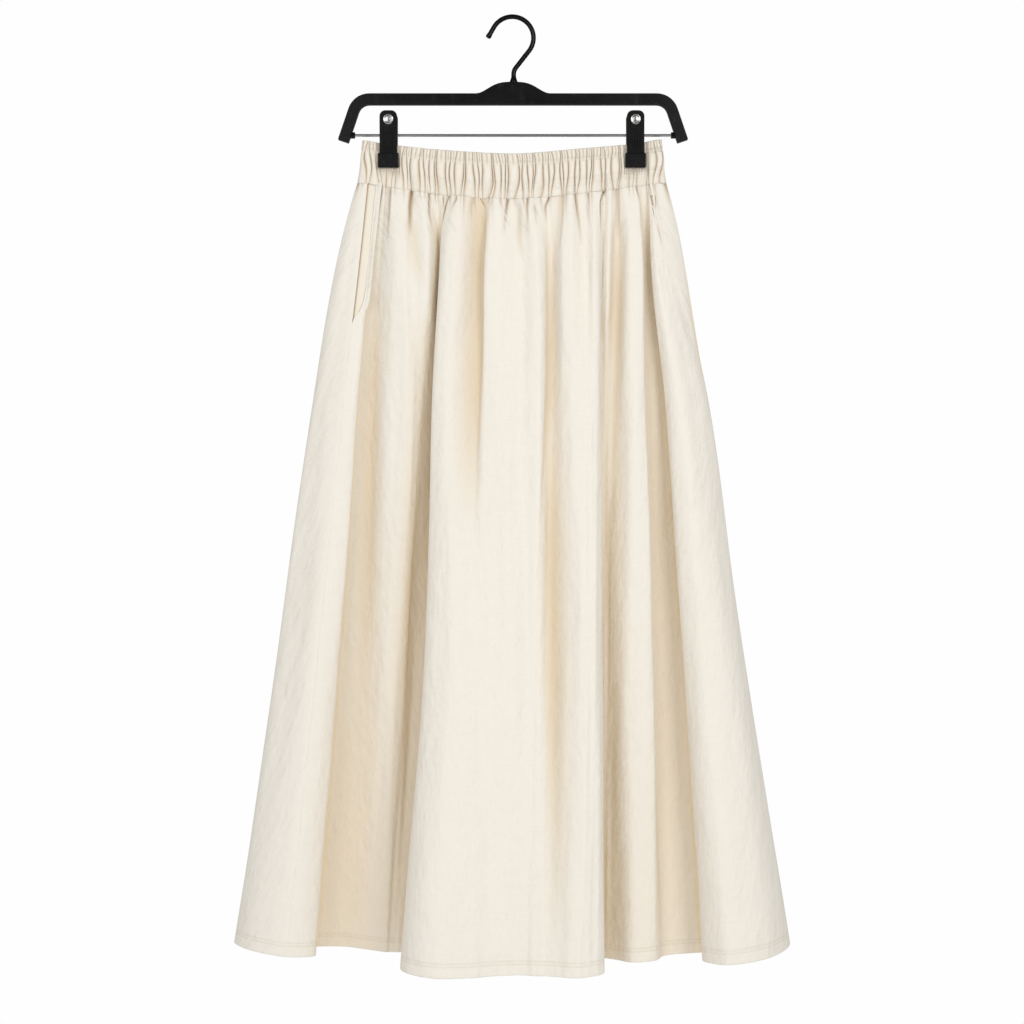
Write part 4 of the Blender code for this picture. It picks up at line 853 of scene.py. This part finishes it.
# Painted shade: the facing's even shade, and the width of the painted shadow line along its seam.
FACING_PAINTED_SHADE = 0.25
FACING_SHADE = 0.0016
FACING_RISE = 0.003
FACING_SHORT = 0.03

facing_drops = np.linspace(-FACING_RISE, FACING_DROP, FACING_ROWS)
facing_z = sections(facing_drops, np.array([0.0]))[:, 0, 2]
facing_edge = np.maximum(mouth_start(facing_z), FACING_LEAST_SHARE)
facing_reach = facing_edge[:, None] + FACING_UNDERLAP - FACING_SHORT
facing_at = np.linspace(0, 1, FACING_COLUMNS) * facing_reach - FACING_UNDERLAP
facing_grid = sections(facing_drops, facing_at)
facing_grid = facing_grid - outward(facing_grid) * FACING_SETBACK
facing_arc = arc_lengths(facing_grid)
facing_seam = np.array([np.interp(0, at, arc) for at, arc in zip(facing_at, facing_arc)])
# Painted shadow: a dark line along the facing's seam with the back panel.
facing_painted_shadow_line = np.exp(-(((facing_arc - facing_seam[:, None]) / FACING_SHADE) ** 2))
# Painted shade: the whole facing is darkened evenly, as it lies in the pocket's mouth.
facing_painted_shade = np.full(facing_arc.shape, FACING_PAINTED_SHADE)
facing = cloth("pocket_facing", facing_grid, facing_arc, facing_painted_shade, facing_painted_shadow_line, cotton)
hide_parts("pocket_facing_left")

# Back panel: the same cotton and the same cut, gathered a little fuller. It wraps round to the
# front on the left, where the side seam shows.
BACK_SEED = 2.1

BACK_CREASES = (
    Crease("right pinch 1", 141.0, 143.5, 149.0, -182.0, -204.0, -246.0, 1.5, 1.5, 2.2, 1.6),
    Crease("right pinch 2", 128.5, 127.0, 131.0, -183.0, -199.0, -226.0, 1.4, 1.6, 2.0, 1.3),
    Crease("right lip pinch", 119.0, 121.5, 124.5, -184.0, -206.0, -240.0, 1.4, 1.6, 2.6, 2.0),
    Crease("right short pinch", 104.5, 104.0, 105.5, -186.0, -197.0, -212.0, 1.2, 1.3, 1.9, 1.2),
    Crease("right ridge pinch", 92.5, 95.0, 99.0, -188.0, -212.0, -252.0, 1.6, 2.0, 2.2, 1.5),
    Crease("right ridge, short", 82.0, 81.0, 82.5, -189.0, -203.0, -224.0, 1.3, 1.4, 1.7, 1.1),
    Crease("right fold pinch", 66.0, 67.5, 70.0, -191.0, -215.0, -262.0, 1.6, 2.4, 2.4, 1.7),
    Crease("middle pinch 1", 47.5, 49.0, 51.0, -193.0, -212.0, -250.0, 1.4, 1.6, 2.4, 1.5),
    Crease("middle pinch 2", 30.5, 28.0, 29.0, -194.5, -209.0, -231.0, 1.5, 1.4, 2.0, 1.2),
    Crease("middle soft 1", 20.0, 20.5, 22.0, -196.0, -222.0, -270.0, 3.0, 2.6, 1.3, 1.1),
    Crease("middle v", 10.5, 8.0, 6.0, -196.5, -205.0, -216.0, 1.1, 1.2, 1.7, 1.2),
    Crease("middle pinch 3", -2.5, -3.0, -1.0, -197.0, -214.0, -246.0, 1.5, 1.6, 2.4, 1.6),
    Crease("middle short pinch", -13.0, -12.0, -13.5, -196.5, -206.0, -221.0, 1.2, 1.2, 1.6, 1.0),
    Crease("middle soft 2", -22.0, -24.0, -27.0, -196.0, -226.0, -285.0, 3.2, 2.8, 1.4, 1.2),
    Crease("left lip pinch", -41.0, -43.5, -47.0, -194.0, -211.0, -242.0, 1.4, 1.5, 2.6, 1.9),
    Crease("left pinch 1", -55.0, -56.5, -59.0, -192.0, -213.0, -254.0, 1.5, 1.8, 2.2, 1.5),
    Crease("left pinch 2", -69.0, -68.0, -71.0, -190.5, -205.0, -230.0, 1.4, 1.4, 2.1, 1.3),
    Crease("left ridge pinch", -83.5, -87.0, -92.0, -189.0, -212.0, -252.0, 1.6, 1.6, 2.4, 1.6),
    Crease("left short pinch", -96.0, -97.0, -97.5, -187.5, -198.0, -214.0, 1.2, 1.3, 1.8, 1.1),
    Crease("left fold pinch", -110.0, -112.5, -117.0, -186.0, -208.0, -248.0, 1.6, 2.0, 2.4, 1.7),
    Crease("left pinch 3", -124.0, -125.0, -129.0, -184.5, -200.0, -228.0, 1.3, 1.5, 2.0, 1.3),
    Crease("left pinch 4", -138.5, -142.0, -147.0, -182.5, -203.0, -238.0, 1.5, 1.6, 2.2, 1.5),
)

back_panel, back_face, back_out = sewn_panel(
    "skirt_back", len(FRONT_FOLDS), len(RING), 1, BACK_SEED, BACK_CREASES
)
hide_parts("back_panel")

# Waistband: one elastic casing round the waist, the cotton folded over at the top and gathered by
# the elastic inside. A line of stitches leaves a narrow header above it, and another closes it.
BAND_WALL = 0.0011
INNER_WALL = 0.0002
BAND_RISE = 0.0036
HEADER_RISE = 0.0013
BAND_FOLD_RADIUS = 0.0010
CLIPPED_WALL = 0.0021
CLIP_PLEATS = 0.0011
CLIP_X = (-0.1353, 0.1330)
CLIP_FOOT_HALF_WIDTH = 0.0113
CLIP_MARGIN = 0.0004
CLIP_EASE = 0.0018
CLIP_FOOT_SHARE = 0.62
COLUMNS_EACH_GATHER = 12
BAND_ROWS = 42
INNER_ROWS = 10
INNER_END = 0.03
FOLD_ROWS = 5
OUTER_START = 0.015
PARTING = 3
SEAM_BLEND = (0.60, 1.0)
BAND_ON_SKIRT = 0.0001
BAND_OVERLAP = 0.0004
SEAM_PUCKER = 0.0007
SEAM_SCALLOP = 0.0014
# Painted shade in the waistband's gather valleys, at its strongest.
BAND_PAINTED_SHADE = 0.95
END_COLUMNS = 10
END_EASE = 0.016


class BandLine(NamedTuple):
    """One line along the waistband: its share of the height, its pull outwards and its gathers."""

    place: str
    share: float
    pull: float
    gather: float
    pleats: float


BAND_LINES = (
    BandLine("top edge", 0.00, 0.0002, 0.25, 0.90),
    BandLine("header", 0.12, 0.0005, 0.30, 1.00),
    BandLine("header stitching", 0.215, -0.0002, 0.35, 0.60),
    BandLine("casing, upper", 0.28, 0.0001, 0.90, 0.15),
    BandLine("casing, middle", 0.55, 0.0006, 1.05, 0.00),
    BandLine("casing, lower", 0.78, 0.0003, 1.05, 0.00),
    BandLine("casing stitching", 0.86, -0.0004, 0.90, 0.10),
    BandLine("seam", 1.00, -0.0004, 0.85, 0.00),
)


def band_reading(name, share):
    """One column of the band lines, read at a share of the height."""
    return smooth([line.share for line in BAND_LINES], [getattr(line, name) for line in BAND_LINES], share)


def band_grid(side, seed, pinches):
    """Half the waistband as a grid: up the inner face, over the top and down the outer face, with the shade
    painted into its gathers' valleys.
    """
    step = np.sin(np.linspace(-1, 1, COLUMNS_EACH_GATHER + 1) * math.pi / 2)
    k = np.repeat(np.arange(GATHERS_EACH_SIDE), COLUMNS_EACH_GATHER)
    place = np.tile(step[:-1], GATHERS_EACH_SIDE)
    k = np.append(k, GATHERS_EACH_SIDE - 1)
    place = np.append(place, 1.0)
    index = np.arange(len(WAISTBAND))
    x_tops = np.array([row.x_top for row in WAISTBAND])
    names = WAISTBAND[0]._fields[1:]
    inner_shares = np.linspace(1, INNER_END, INNER_ROWS)
    outer_shares = np.linspace(OUTER_START, 1, BAND_ROWS)
    top_row = np.concatenate([front_face[0], back_face[0]])
    far_left, far_right = np.argmin(top_row[:, 0]), np.argmax(top_row[:, 0])
    if side < 0:
        seam_line = np.concatenate([top_row[far_left:], top_row[: far_right + 1]])
    else:
        seam_line = top_row[far_right : far_left + 1][::-1]
    ends = (WAISTBAND[0].x_seam, WAISTBAND[-1].x_seam)
    end_places = (ends[0], ends[0] + END_EASE, ends[1] - END_EASE, ends[1])
    end_reach = (seam_line[0, 0] - ends[0], 0, 0, seam_line[-1, 0] - ends[1])
    rows = []
    band_painted_shades = []
    from_end = np.minimum(np.arange(len(k)), np.arange(len(k))[::-1])
    near_end = np.sqrt(np.clip(from_end / END_COLUMNS, 0, 1))
    stretches = (
        (inner_shares, "inner"),
        ((0.0,) * FOLD_ROWS, "fold"),
        (outer_shares, "outer"),
        ((1.0,) * 2, "turn"),
    )
    for shares, face in stretches:
        for n, share in enumerate(shares):
            edges = gather_edges(share, seed)
            middle = (edges[k] + edges[k + 1]) / 2
            fraction = middle + place * (edges[k + 1] - edges[k]) / 2
            x_top = drawn_in(x_tops[0] + fraction * (x_tops[-1] - x_tops[0]), share, pinches)
            at = smooth(x_tops, index, x_top)
            column = {name: smooth(index, [getattr(row, name) for row in WAISTBAND], at) for name in names}
            x = column["x_top"] * (1 - share) + column["x_seam"] * share
            parting = share**PARTING
            depth = column["depth_top"] * (1 - parting) + column["depth_seam"] * parting + SEAM_GAP / 2
            z = column["z_top"] * (1 - share) + column["z_seam"] * share
            along = np.gradient(x)
            across = np.gradient(depth)
            length = np.hypot(along, across)
            out_x, out_y = -across / length, along / length
            away = np.min([np.abs(x - clip) for clip in CLIP_X], axis=0)
            free = np.clip((away - CLIP_FOOT_HALF_WIDTH - CLIP_MARGIN) / CLIP_EASE, 0, 1)
            free = free * free * (3 - 2 * free)
            free = free + (1 - free) * 0.75 * smooth([CLIP_FOOT_SHARE, CLIP_FOOT_SHARE + 0.25], [0, 1], share)
            tall = gather_height(k, seed, share)
            big = roll(place) * tall * band_reading("gather", share)
            small = roll(np.abs(place) * 2 - 1) * band_reading("pleats", share)
            fine = roll(np.abs(np.abs(place) * 2 - 1) * 2 - 1)
            wall = BAND_WALL + band_reading("pull", share) + BAND_RISE * big + HEADER_RISE * small
            wall = wall * free + (CLIPPED_WALL + CLIP_PLEATS * (fine - 0.5)) * (1 - free)
            wall = INNER_WALL + (wall - INNER_WALL) * near_end
            if face == "inner":
                wall = INNER_WALL + 0.0003 * roll(place) * free
            if face == "fold":
                turn = math.pi * (n + 0.5) / FOLD_ROWS
                wall = INNER_WALL + (wall - INNER_WALL) * (1 - math.cos(turn)) / 2
                z = z + BAND_FOLD_RADIUS * math.sin(turn) * (0.8 + 0.5 * roll(np.abs(place) * 2 - 1) * free)
            if face == "turn":
                z = z + 0.0010 * n
            z = z - (BAND_OVERLAP + SEAM_SCALLOP * roll(place) * tall) * smooth([0.9, 1.0], [0, 1], share)
            y = side * (depth + out_y * wall)
            if face != "fold":
                near = smooth(SEAM_BLEND, [0, 1], share)
                x = x + near * np.interp(x, end_places, end_reach)
                lift = -BAND_WALL if face == "inner" else BAND_ON_SKIRT + SEAM_PUCKER * roll(place) * tall
                onto = np.interp(x, seam_line[:, 0], seam_line[:, 1]) + side * lift * near_end
                y = y * (1 - near) + onto * near - side * 0.0005 * (n + 1) * (face == "turn")
            rows.append(np.stack([x + out_x * wall * near_end, y, z], axis=1))
            # Painted shade: darker in the gathers' valleys and the header's pleats and in the fine pleats by
            # the clip feet, none on the inner face.
            shut = (1 - roll(place)) * band_reading("gather", share)
            shut = shut + 0.7 * (1 - roll(np.abs(place) * 2 - 1)) * band_reading("pleats", share)
            shut = shut * (0.5 + 0.5 * free) + 0.7 * (1 - fine) * (1 - free)
            band_painted_shades.append(BAND_PAINTED_SHADE * np.clip(shut, 0, 1) * (face != "inner"))
    grid = np.stack(rows)
    band_painted_shade = np.stack(band_painted_shades)
    return (grid, band_painted_shade) if side < 0 else (grid[:, ::-1], band_painted_shade[:, ::-1])


band_cotton = cotton_material("cream cotton, gathered", 0.45)


def sewn_band(name, side, seed, creases):
    """Half the waistband as a piece, with its grid."""
    grid, band_painted_shade = band_grid(side, seed, pinched_at(creases))
    # Painted shade: warm over the valleys and dark brown in their bottoms.
    return cloth(name, grid, arc_lengths(grid), 0.7 * band_painted_shade, 0.8 * band_painted_shade**1.6, band_cotton), grid


waistband_front, front_band = sewn_band("waistband_front_cloth", -1, FRONT_SEED, FRONT_CREASES)
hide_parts("waistband_front")
waistband_back, back_band = sewn_band("waistband_back_cloth", 1, BACK_SEED, BACK_CREASES)
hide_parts("waistband_back")

# Stitching: cream sewing thread in short even stitches, two lines along the waistband and a pair
# above the hem.
THREAD = 0.00045
STITCH = 0.0021
STITCH_PITCH = 0.0029
STITCH_RINGS = ((0.0, -0.00015, 0.4), (0.5, 0.00030, 1.0), (1.0, -0.00015, 0.4))
STITCH_CORNERS = ((1, 0), (0, 1), (-1, 0), (0, -1))
THREAD_PALE = (0.88, 0.81, 0.69, 1)
THREAD_DARK = (0.79, 0.70, 0.56, 1)


def stitch_line(line, out):
    """Corners and faces of the stitches along a line of points on the cloth."""
    step = np.linalg.norm(np.diff(line, axis=0), axis=1)
    arc = np.concatenate([[0], np.cumsum(step)])
    starts = np.arange(STITCH_PITCH / 2, arc[-1] - STITCH_PITCH, STITCH_PITCH)
    points, faces = [], []
    for start in starts:
        rings = []
        for share, lift, half in STITCH_RINGS:
            s = start + share * STITCH
            middle = np.array([np.interp(s, arc, line[:, i]) for i in range(3)])
            up = np.array([np.interp(s, arc, out[:, i]) for i in range(3)])
            up /= np.linalg.norm(up)
            across = np.array([0, 0, 1.0])
            across -= up * across.dot(up)
            across /= np.linalg.norm(across)
            centre = middle + up * lift
            rings.append([centre + (across * a + up * b) * THREAD / 2 * half for a, b in STITCH_CORNERS])
        base = len(points)
        for ring in rings:
            points += ring
        for r in (0, 4):
            for i in range(4):
                j = (i + 1) % 4
                faces.append((base + r + i, base + r + j, base + r + 4 + j, base + r + 4 + i))
        faces.append((base + 3, base + 2, base + 1, base))
        faces.append((base + 8, base + 9, base + 10, base + 11))
    return points, faces


def sewn(name, lines, finish):
    """One piece of all the stitches along several lines."""
    points, faces = [], []
    for line, out in lines:
        more_points, more_faces = stitch_line(line, out)
        faces += [tuple(i + len(points) for i in face) for face in more_faces]
        points += more_points
    mesh = bpy.data.meshes.new(name)
    mesh.from_pydata([tuple(p) for p in points], [], faces)
    mesh.materials.append(finish)
    mesh.shade_smooth()
    return fixed(name, mesh)


def thread_material():
    """Cream sewing thread, a little glossier than the cloth, with its twist as fine stripes."""
    made, tree, shader = new_material("cream thread")
    place = add_node(tree, "ShaderNodeTexCoord").outputs["Object"]
    twist = stretched_noise(tree, place, (2600.0, 900.0, 3800.0), 1.0)
    tone = stretched_noise(tree, place, (40.0, 40.0, 40.0), 2.0)
    colour = mix_node(tree, math_node(tree, "MULTIPLY", twist, tone), THREAD_PALE, THREAD_DARK)
    rough = math_node(tree, "ADD", math_node(tree, "MULTIPLY", twist, 0.2), 0.5)
    feed(tree, shader, colour, rough, math_node(tree, "MULTIPLY", twist, 0.0001))
    return made


thread = thread_material()


def hem_lines(face, out):
    """The two lines of stitches above the hem of a panel."""
    lines = []
    for above in HEM_LINES:
        z = face[:, :, 2] - face[-1, :, 2]
        points, ways = [], []
        for c in range(face.shape[1]):
            order = np.argsort(z[:, c])
            points.append([np.interp(above, z[order, c], face[order, c, i]) for i in range(3)])
            ways.append([np.interp(above, z[order, c], out[order, c, i]) for i in range(3)])
        lines.append((np.array(points), np.array(ways)))
    return lines


def band_lines(grid):
    """The header's and the casing's lines of stitches on half the waistband."""
    out = outward(grid)
    first = INNER_ROWS + FOLD_ROWS
    lines = []
    for share in [line.share for line in BAND_LINES if line.place.endswith("stitching")]:
        r = first + int(round((share - OUTER_START) / (1 - OUTER_START) * (BAND_ROWS - 1)))
        lines.append((grid[r], out[r]))
    return lines


hem_front = sewn("hem_stitches_front", hem_lines(front_face, front_out), thread)
hem_back = sewn("hem_stitches_back", hem_lines(back_face, back_out), thread)
band_front = sewn("band_stitches_front", band_lines(front_band), thread)
band_back = sewn("band_stitches_back", band_lines(back_band), thread)

# Hanger bar: one moulding of black polystyrene, with its hump, its arms and the bosses for the rod.
# The solid already has its shape, so it keeps it and gets the moulded finish.
BLACK = (0.0022, 0.0024, 0.0030, 1)
BLACK_WORN = (0.0085, 0.0085, 0.0095, 1)


def moulded_plastic():
    """Moulded plastic: a fine grain, faint flow marks, and rubbed paler places."""
    group, given, result = node_group(
        "moulded plastic",
        [("Colour", "NodeSocketColor", BLACK), ("Worn", "NodeSocketColor", BLACK_WORN)],
        [("Colour", "NodeSocketColor"), ("Roughness", "NodeSocketFloat"), ("Height", "NodeSocketFloat")],
    )
    place = add_node(group, "ShaderNodeTexCoord").outputs["Object"]
    grain = stretched_noise(group, place, (1500.0, 1500.0, 1500.0), 2.0)
    flow = stretched_noise(group, place, (30.0, 60.0, 90.0), 3.0)
    scuff = stretched_noise(group, place, (140.0, 500.0, 60.0), 4.0)
    rubbed = add_node(group, "ShaderNodeMapRange", {}, n0=scuff, n1=0.58, n2=0.78, n3=0.0, n4=0.55).outputs[0]
    tone = math_node(group, "ADD", rubbed, math_node(group, "MULTIPLY", flow, 0.25))
    colour = mix_node(group, tone, given.outputs["Colour"], given.outputs["Worn"])
    rough = math_node(group, "MULTIPLY", grain, 0.18)
    rough = math_node(group, "ADD", rough, math_node(group, "MULTIPLY", flow, 0.12))
    rough = math_node(group, "ADD", rough, math_node(group, "MULTIPLY", rubbed, 0.2))
    group.links.new(colour, result.inputs["Colour"])
    group.links.new(math_node(group, "ADD", rough, 0.11), result.inputs["Roughness"])
    group.links.new(math_node(group, "MULTIPLY", grain, 0.00006), result.inputs["Height"])
    return group


PLASTIC = moulded_plastic()


def plastic_material(name):
    """Black moulded plastic, half matt."""
    made, tree, shader = new_material(name)
    skin = add_node(tree, "ShaderNodeGroup", {"node_tree": PLASTIC}, Colour=BLACK, Worn=BLACK_WORN)
    feed(tree, shader, skin.outputs["Colour"], skin.outputs["Roughness"], skin.outputs["Height"], 0.8)
    shader.inputs["Specular IOR Level"].default_value = 0.22
    made.diffuse_color = BLACK
    return made


black = plastic_material("black moulded plastic")


def refinish(node, finish):
    """Gives a solid that keeps its shape a better finish."""
    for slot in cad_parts[node].material_slots:
        slot.material = finish


refinish("hanger_bar", black)

# Hook: a round bar of the same black plastic, bent to a half circle and cranked back over its
# collar, with a small rounded ball at its tip.
HOOK_ROD_RADIUS = 0.0026
HOOK_BEND_RADIUS = 0.0231
HOOK_CENTRE_X = -0.0008
HOOK_TIP_ANGLE = 150.0
HOOK_CRANK_ANGLE = -38.0
HOOK_TIP_LENGTH = 0.0135
HOOK_CRANK_RADIUS = 0.0115
HOOK_STEM_X = 0.0007
HOOK_FOOT = -0.0689
HOOK_COLLAR_RADIUS = 0.0042
HOOK_COLLAR_HEIGHT = 0.0065
HOOK_COLLAR_FLARE = 0.0030


class HookTip(NamedTuple):
    """One place along the hook's straight end: its share of the length and of the rod's radius."""

    share: float
    radius: float


HOOK_TIP = (
    HookTip(1.00, 0.30),
    HookTip(0.985, 0.72),
    HookTip(0.95, 1.02),
    HookTip(0.90, 1.15),
    HookTip(0.82, 1.19),
    HookTip(0.72, 1.13),
    HookTip(0.62, 1.02),
    HookTip(0.50, 1.00),
    HookTip(0.25, 1.00),
)


def arc_points(centre, radius, start, end, steps):
    """Points on an arc in the XZ plane, with angles in degrees from +X towards +Z."""
    angles = np.radians(np.linspace(start, end, steps + 1))
    return [(centre[0] + radius * math.cos(a), centre[1] + radius * math.sin(a)) for a in angles]


centre = (HOOK_CENTRE_X, -HOOK_BEND_RADIUS + HOOK_ROD_RADIUS)
bend = arc_points(centre, HOOK_BEND_RADIUS, HOOK_TIP_ANGLE, HOOK_CRANK_ANGLE, 64)
start = math.radians(HOOK_TIP_ANGLE)
tip = []
for place in HOOK_TIP:
    away = HOOK_TIP_LENGTH * place.share
    tip.append((bend[0][0] - math.sin(start) * away, bend[0][1] + math.cos(start) * away))
heading = math.radians(HOOK_CRANK_ANGLE - 90)
way = (math.cos(heading), math.sin(heading))
turn = math.radians(-HOOK_CRANK_ANGLE)
aside = HOOK_CRANK_RADIUS * (1 - math.cos(turn))
run = (bend[-1][0] - HOOK_STEM_X - aside) / -way[0]
corner = (bend[-1][0] + way[0] * run, bend[-1][1] + way[1] * run)
crank_centre = (HOOK_STEM_X + HOOK_CRANK_RADIUS, corner[1] - HOOK_CRANK_RADIUS * math.sin(turn))
crank = arc_points(crank_centre, HOOK_CRANK_RADIUS, 180 + HOOK_CRANK_ANGLE, 180, 16)
rises = (HOOK_COLLAR_HEIGHT, 0.0045, HOOK_COLLAR_FLARE, 0.0012, 0.0)
stem = [(HOOK_STEM_X, HOOK_FOOT + rise) for rise in rises]
collar = HOOK_COLLAR_RADIUS / HOOK_ROD_RADIUS
route = tip + bend + crank + stem
radii = [place.radius for place in HOOK_TIP] + [1.0] * (len(bend) + len(crank) + 1)
radii += [1 + (collar - 1) * share for share in (0.25, 0.55, 1.0, 1.0)]
curve = bpy.data.curves.new("hook", "CURVE")
curve.dimensions = "3D"
curve.bevel_depth = HOOK_ROD_RADIUS
curve.bevel_resolution = 6
curve.use_fill_caps = True
spline = curve.splines.new("POLY")
spline.points.add(len(route) - 1)
for point, (x, z), radius in zip(spline.points, route, radii):
    point.co = (x, 0, z, 1)
    point.radius = radius
curve.materials.append(black)
hook = fixed("hook", curve)
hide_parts("hanger_hook")

# Rod and rivets: a thin drawn steel rod between the arms, on which the clips slide, and the turned
# steel rivet heads that hold each clip's spring. The rod keeps its solid.
ROD_Z = -0.1267
JAW_TILT = math.radians(3.0)
JAW_FACE_Y = -0.0086
RIVET_RADIUS = 0.0058
RIVET_Z = 0.0164
RIVET_RISE = 0.0017
RIVET_TURNS = 56
STEEL = (0.74, 0.74, 0.73, 1)
STEEL_DULL = (0.50, 0.49, 0.47, 1)


class RivetRing(NamedTuple):
    """One ring of the rivet head, from the rim in: its share of the radius and of the rise."""

    radius: float
    rise: float


RIVET_RINGS = (
    RivetRing(0.94, 0.00),
    RivetRing(0.985, 0.08),
    RivetRing(1.00, 0.28),
    RivetRing(0.99, 0.55),
    RivetRing(0.94, 0.82),
    RivetRing(0.87, 0.97),
    RivetRing(0.79, 1.00),
    RivetRing(0.71, 0.93),
    RivetRing(0.64, 0.78),
    RivetRing(0.57, 0.72),
    RivetRing(0.47, 0.76),
    RivetRing(0.33, 0.85),
    RivetRing(0.16, 0.91),
)
RIVET_MIDDLE_RISE = 0.92


def steel_material(name, stretch):
    """Bright steel with the fine marks of drawing or turning and a few dull places."""
    made, tree, shader = new_material(name)
    place = add_node(tree, "ShaderNodeTexCoord").outputs["Object"]
    marks = stretched_noise(tree, place, stretch, 2.0)
    dull = stretched_noise(tree, place, (180.0, 180.0, 180.0), 3.0)
    rough = math_node(tree, "MULTIPLY", marks, 0.16)
    rough = math_node(tree, "ADD", rough, math_node(tree, "MULTIPLY", dull, 0.14))
    rough = math_node(tree, "ADD", rough, 0.10)
    colour = mix_node(tree, dull, STEEL, STEEL_DULL)
    feed(tree, shader, colour, rough, math_node(tree, "MULTIPLY", marks, 0.00002))
    shader.inputs["Metallic"].default_value = 1.0
    made.diffuse_color = (0.62, 0.62, 0.60, 1)
    return made


refinish("hanger_rod", steel_material("drawn steel", (40.0, 4000.0, 4000.0)))
turned_steel = steel_material("turned steel", (2500.0, 2500.0, 2500.0))

for side, clip_x in zip(("left", "right"), CLIP_X):
    for facing_way, turn in (("front", 0.0), ("back", math.pi)):
        points = [(0.0, 0.0, 0.0)]
        for ring in RIVET_RINGS:
            for i in range(RIVET_TURNS):
                angle = 2 * math.pi * i / RIVET_TURNS
                radius = ring.radius * RIVET_RADIUS
                points.append((radius * math.cos(angle), radius * math.sin(angle), ring.rise * RIVET_RISE))
        points.append((0.0, 0.0, RIVET_MIDDLE_RISE * RIVET_RISE))
        last = 1 + (len(RIVET_RINGS) - 1) * RIVET_TURNS
        faces = []
        for i in range(RIVET_TURNS):
            j = (i + 1) % RIVET_TURNS
            faces.append((0, 1 + j, 1 + i))
            for low in range(1, last, RIVET_TURNS):
                faces.append((low + i, low + j, low + RIVET_TURNS + j, low + RIVET_TURNS + i))
            faces.append((last + i, last + j, len(points) - 1))
        mesh = bpy.data.meshes.new(f"rivet_{side}_{facing_way}")
        mesh.from_pydata(points, [], faces)
        tilt = Matrix.Rotation(JAW_TILT, 4, "X") @ Matrix.Translation((0, JAW_FACE_Y - SEAM_GAP, RIVET_Z))
        stand_at = Matrix.Translation((clip_x, 0, ROD_Z)) @ Matrix.Rotation(turn, 4, "Z")
        mesh.transform(stand_at @ tilt @ Matrix.Rotation(math.pi / 2, 4, "X"))
        mesh.materials.append(turned_steel)
        mesh.shade_smooth()
        rivet = fixed(f"rivet_{side}_{facing_way}", mesh)
        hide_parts(f"clip_{side}_{facing_way}_rivet")

# Clip jaws: black moulded legs with a fluted front and a broad grip foot, two to a clip. They keep
# their solids.
for side in ("left", "right"):
    for facing_way in ("front", "back"):
        refinish(f"clip_{side}_{facing_way}_jaw", black)
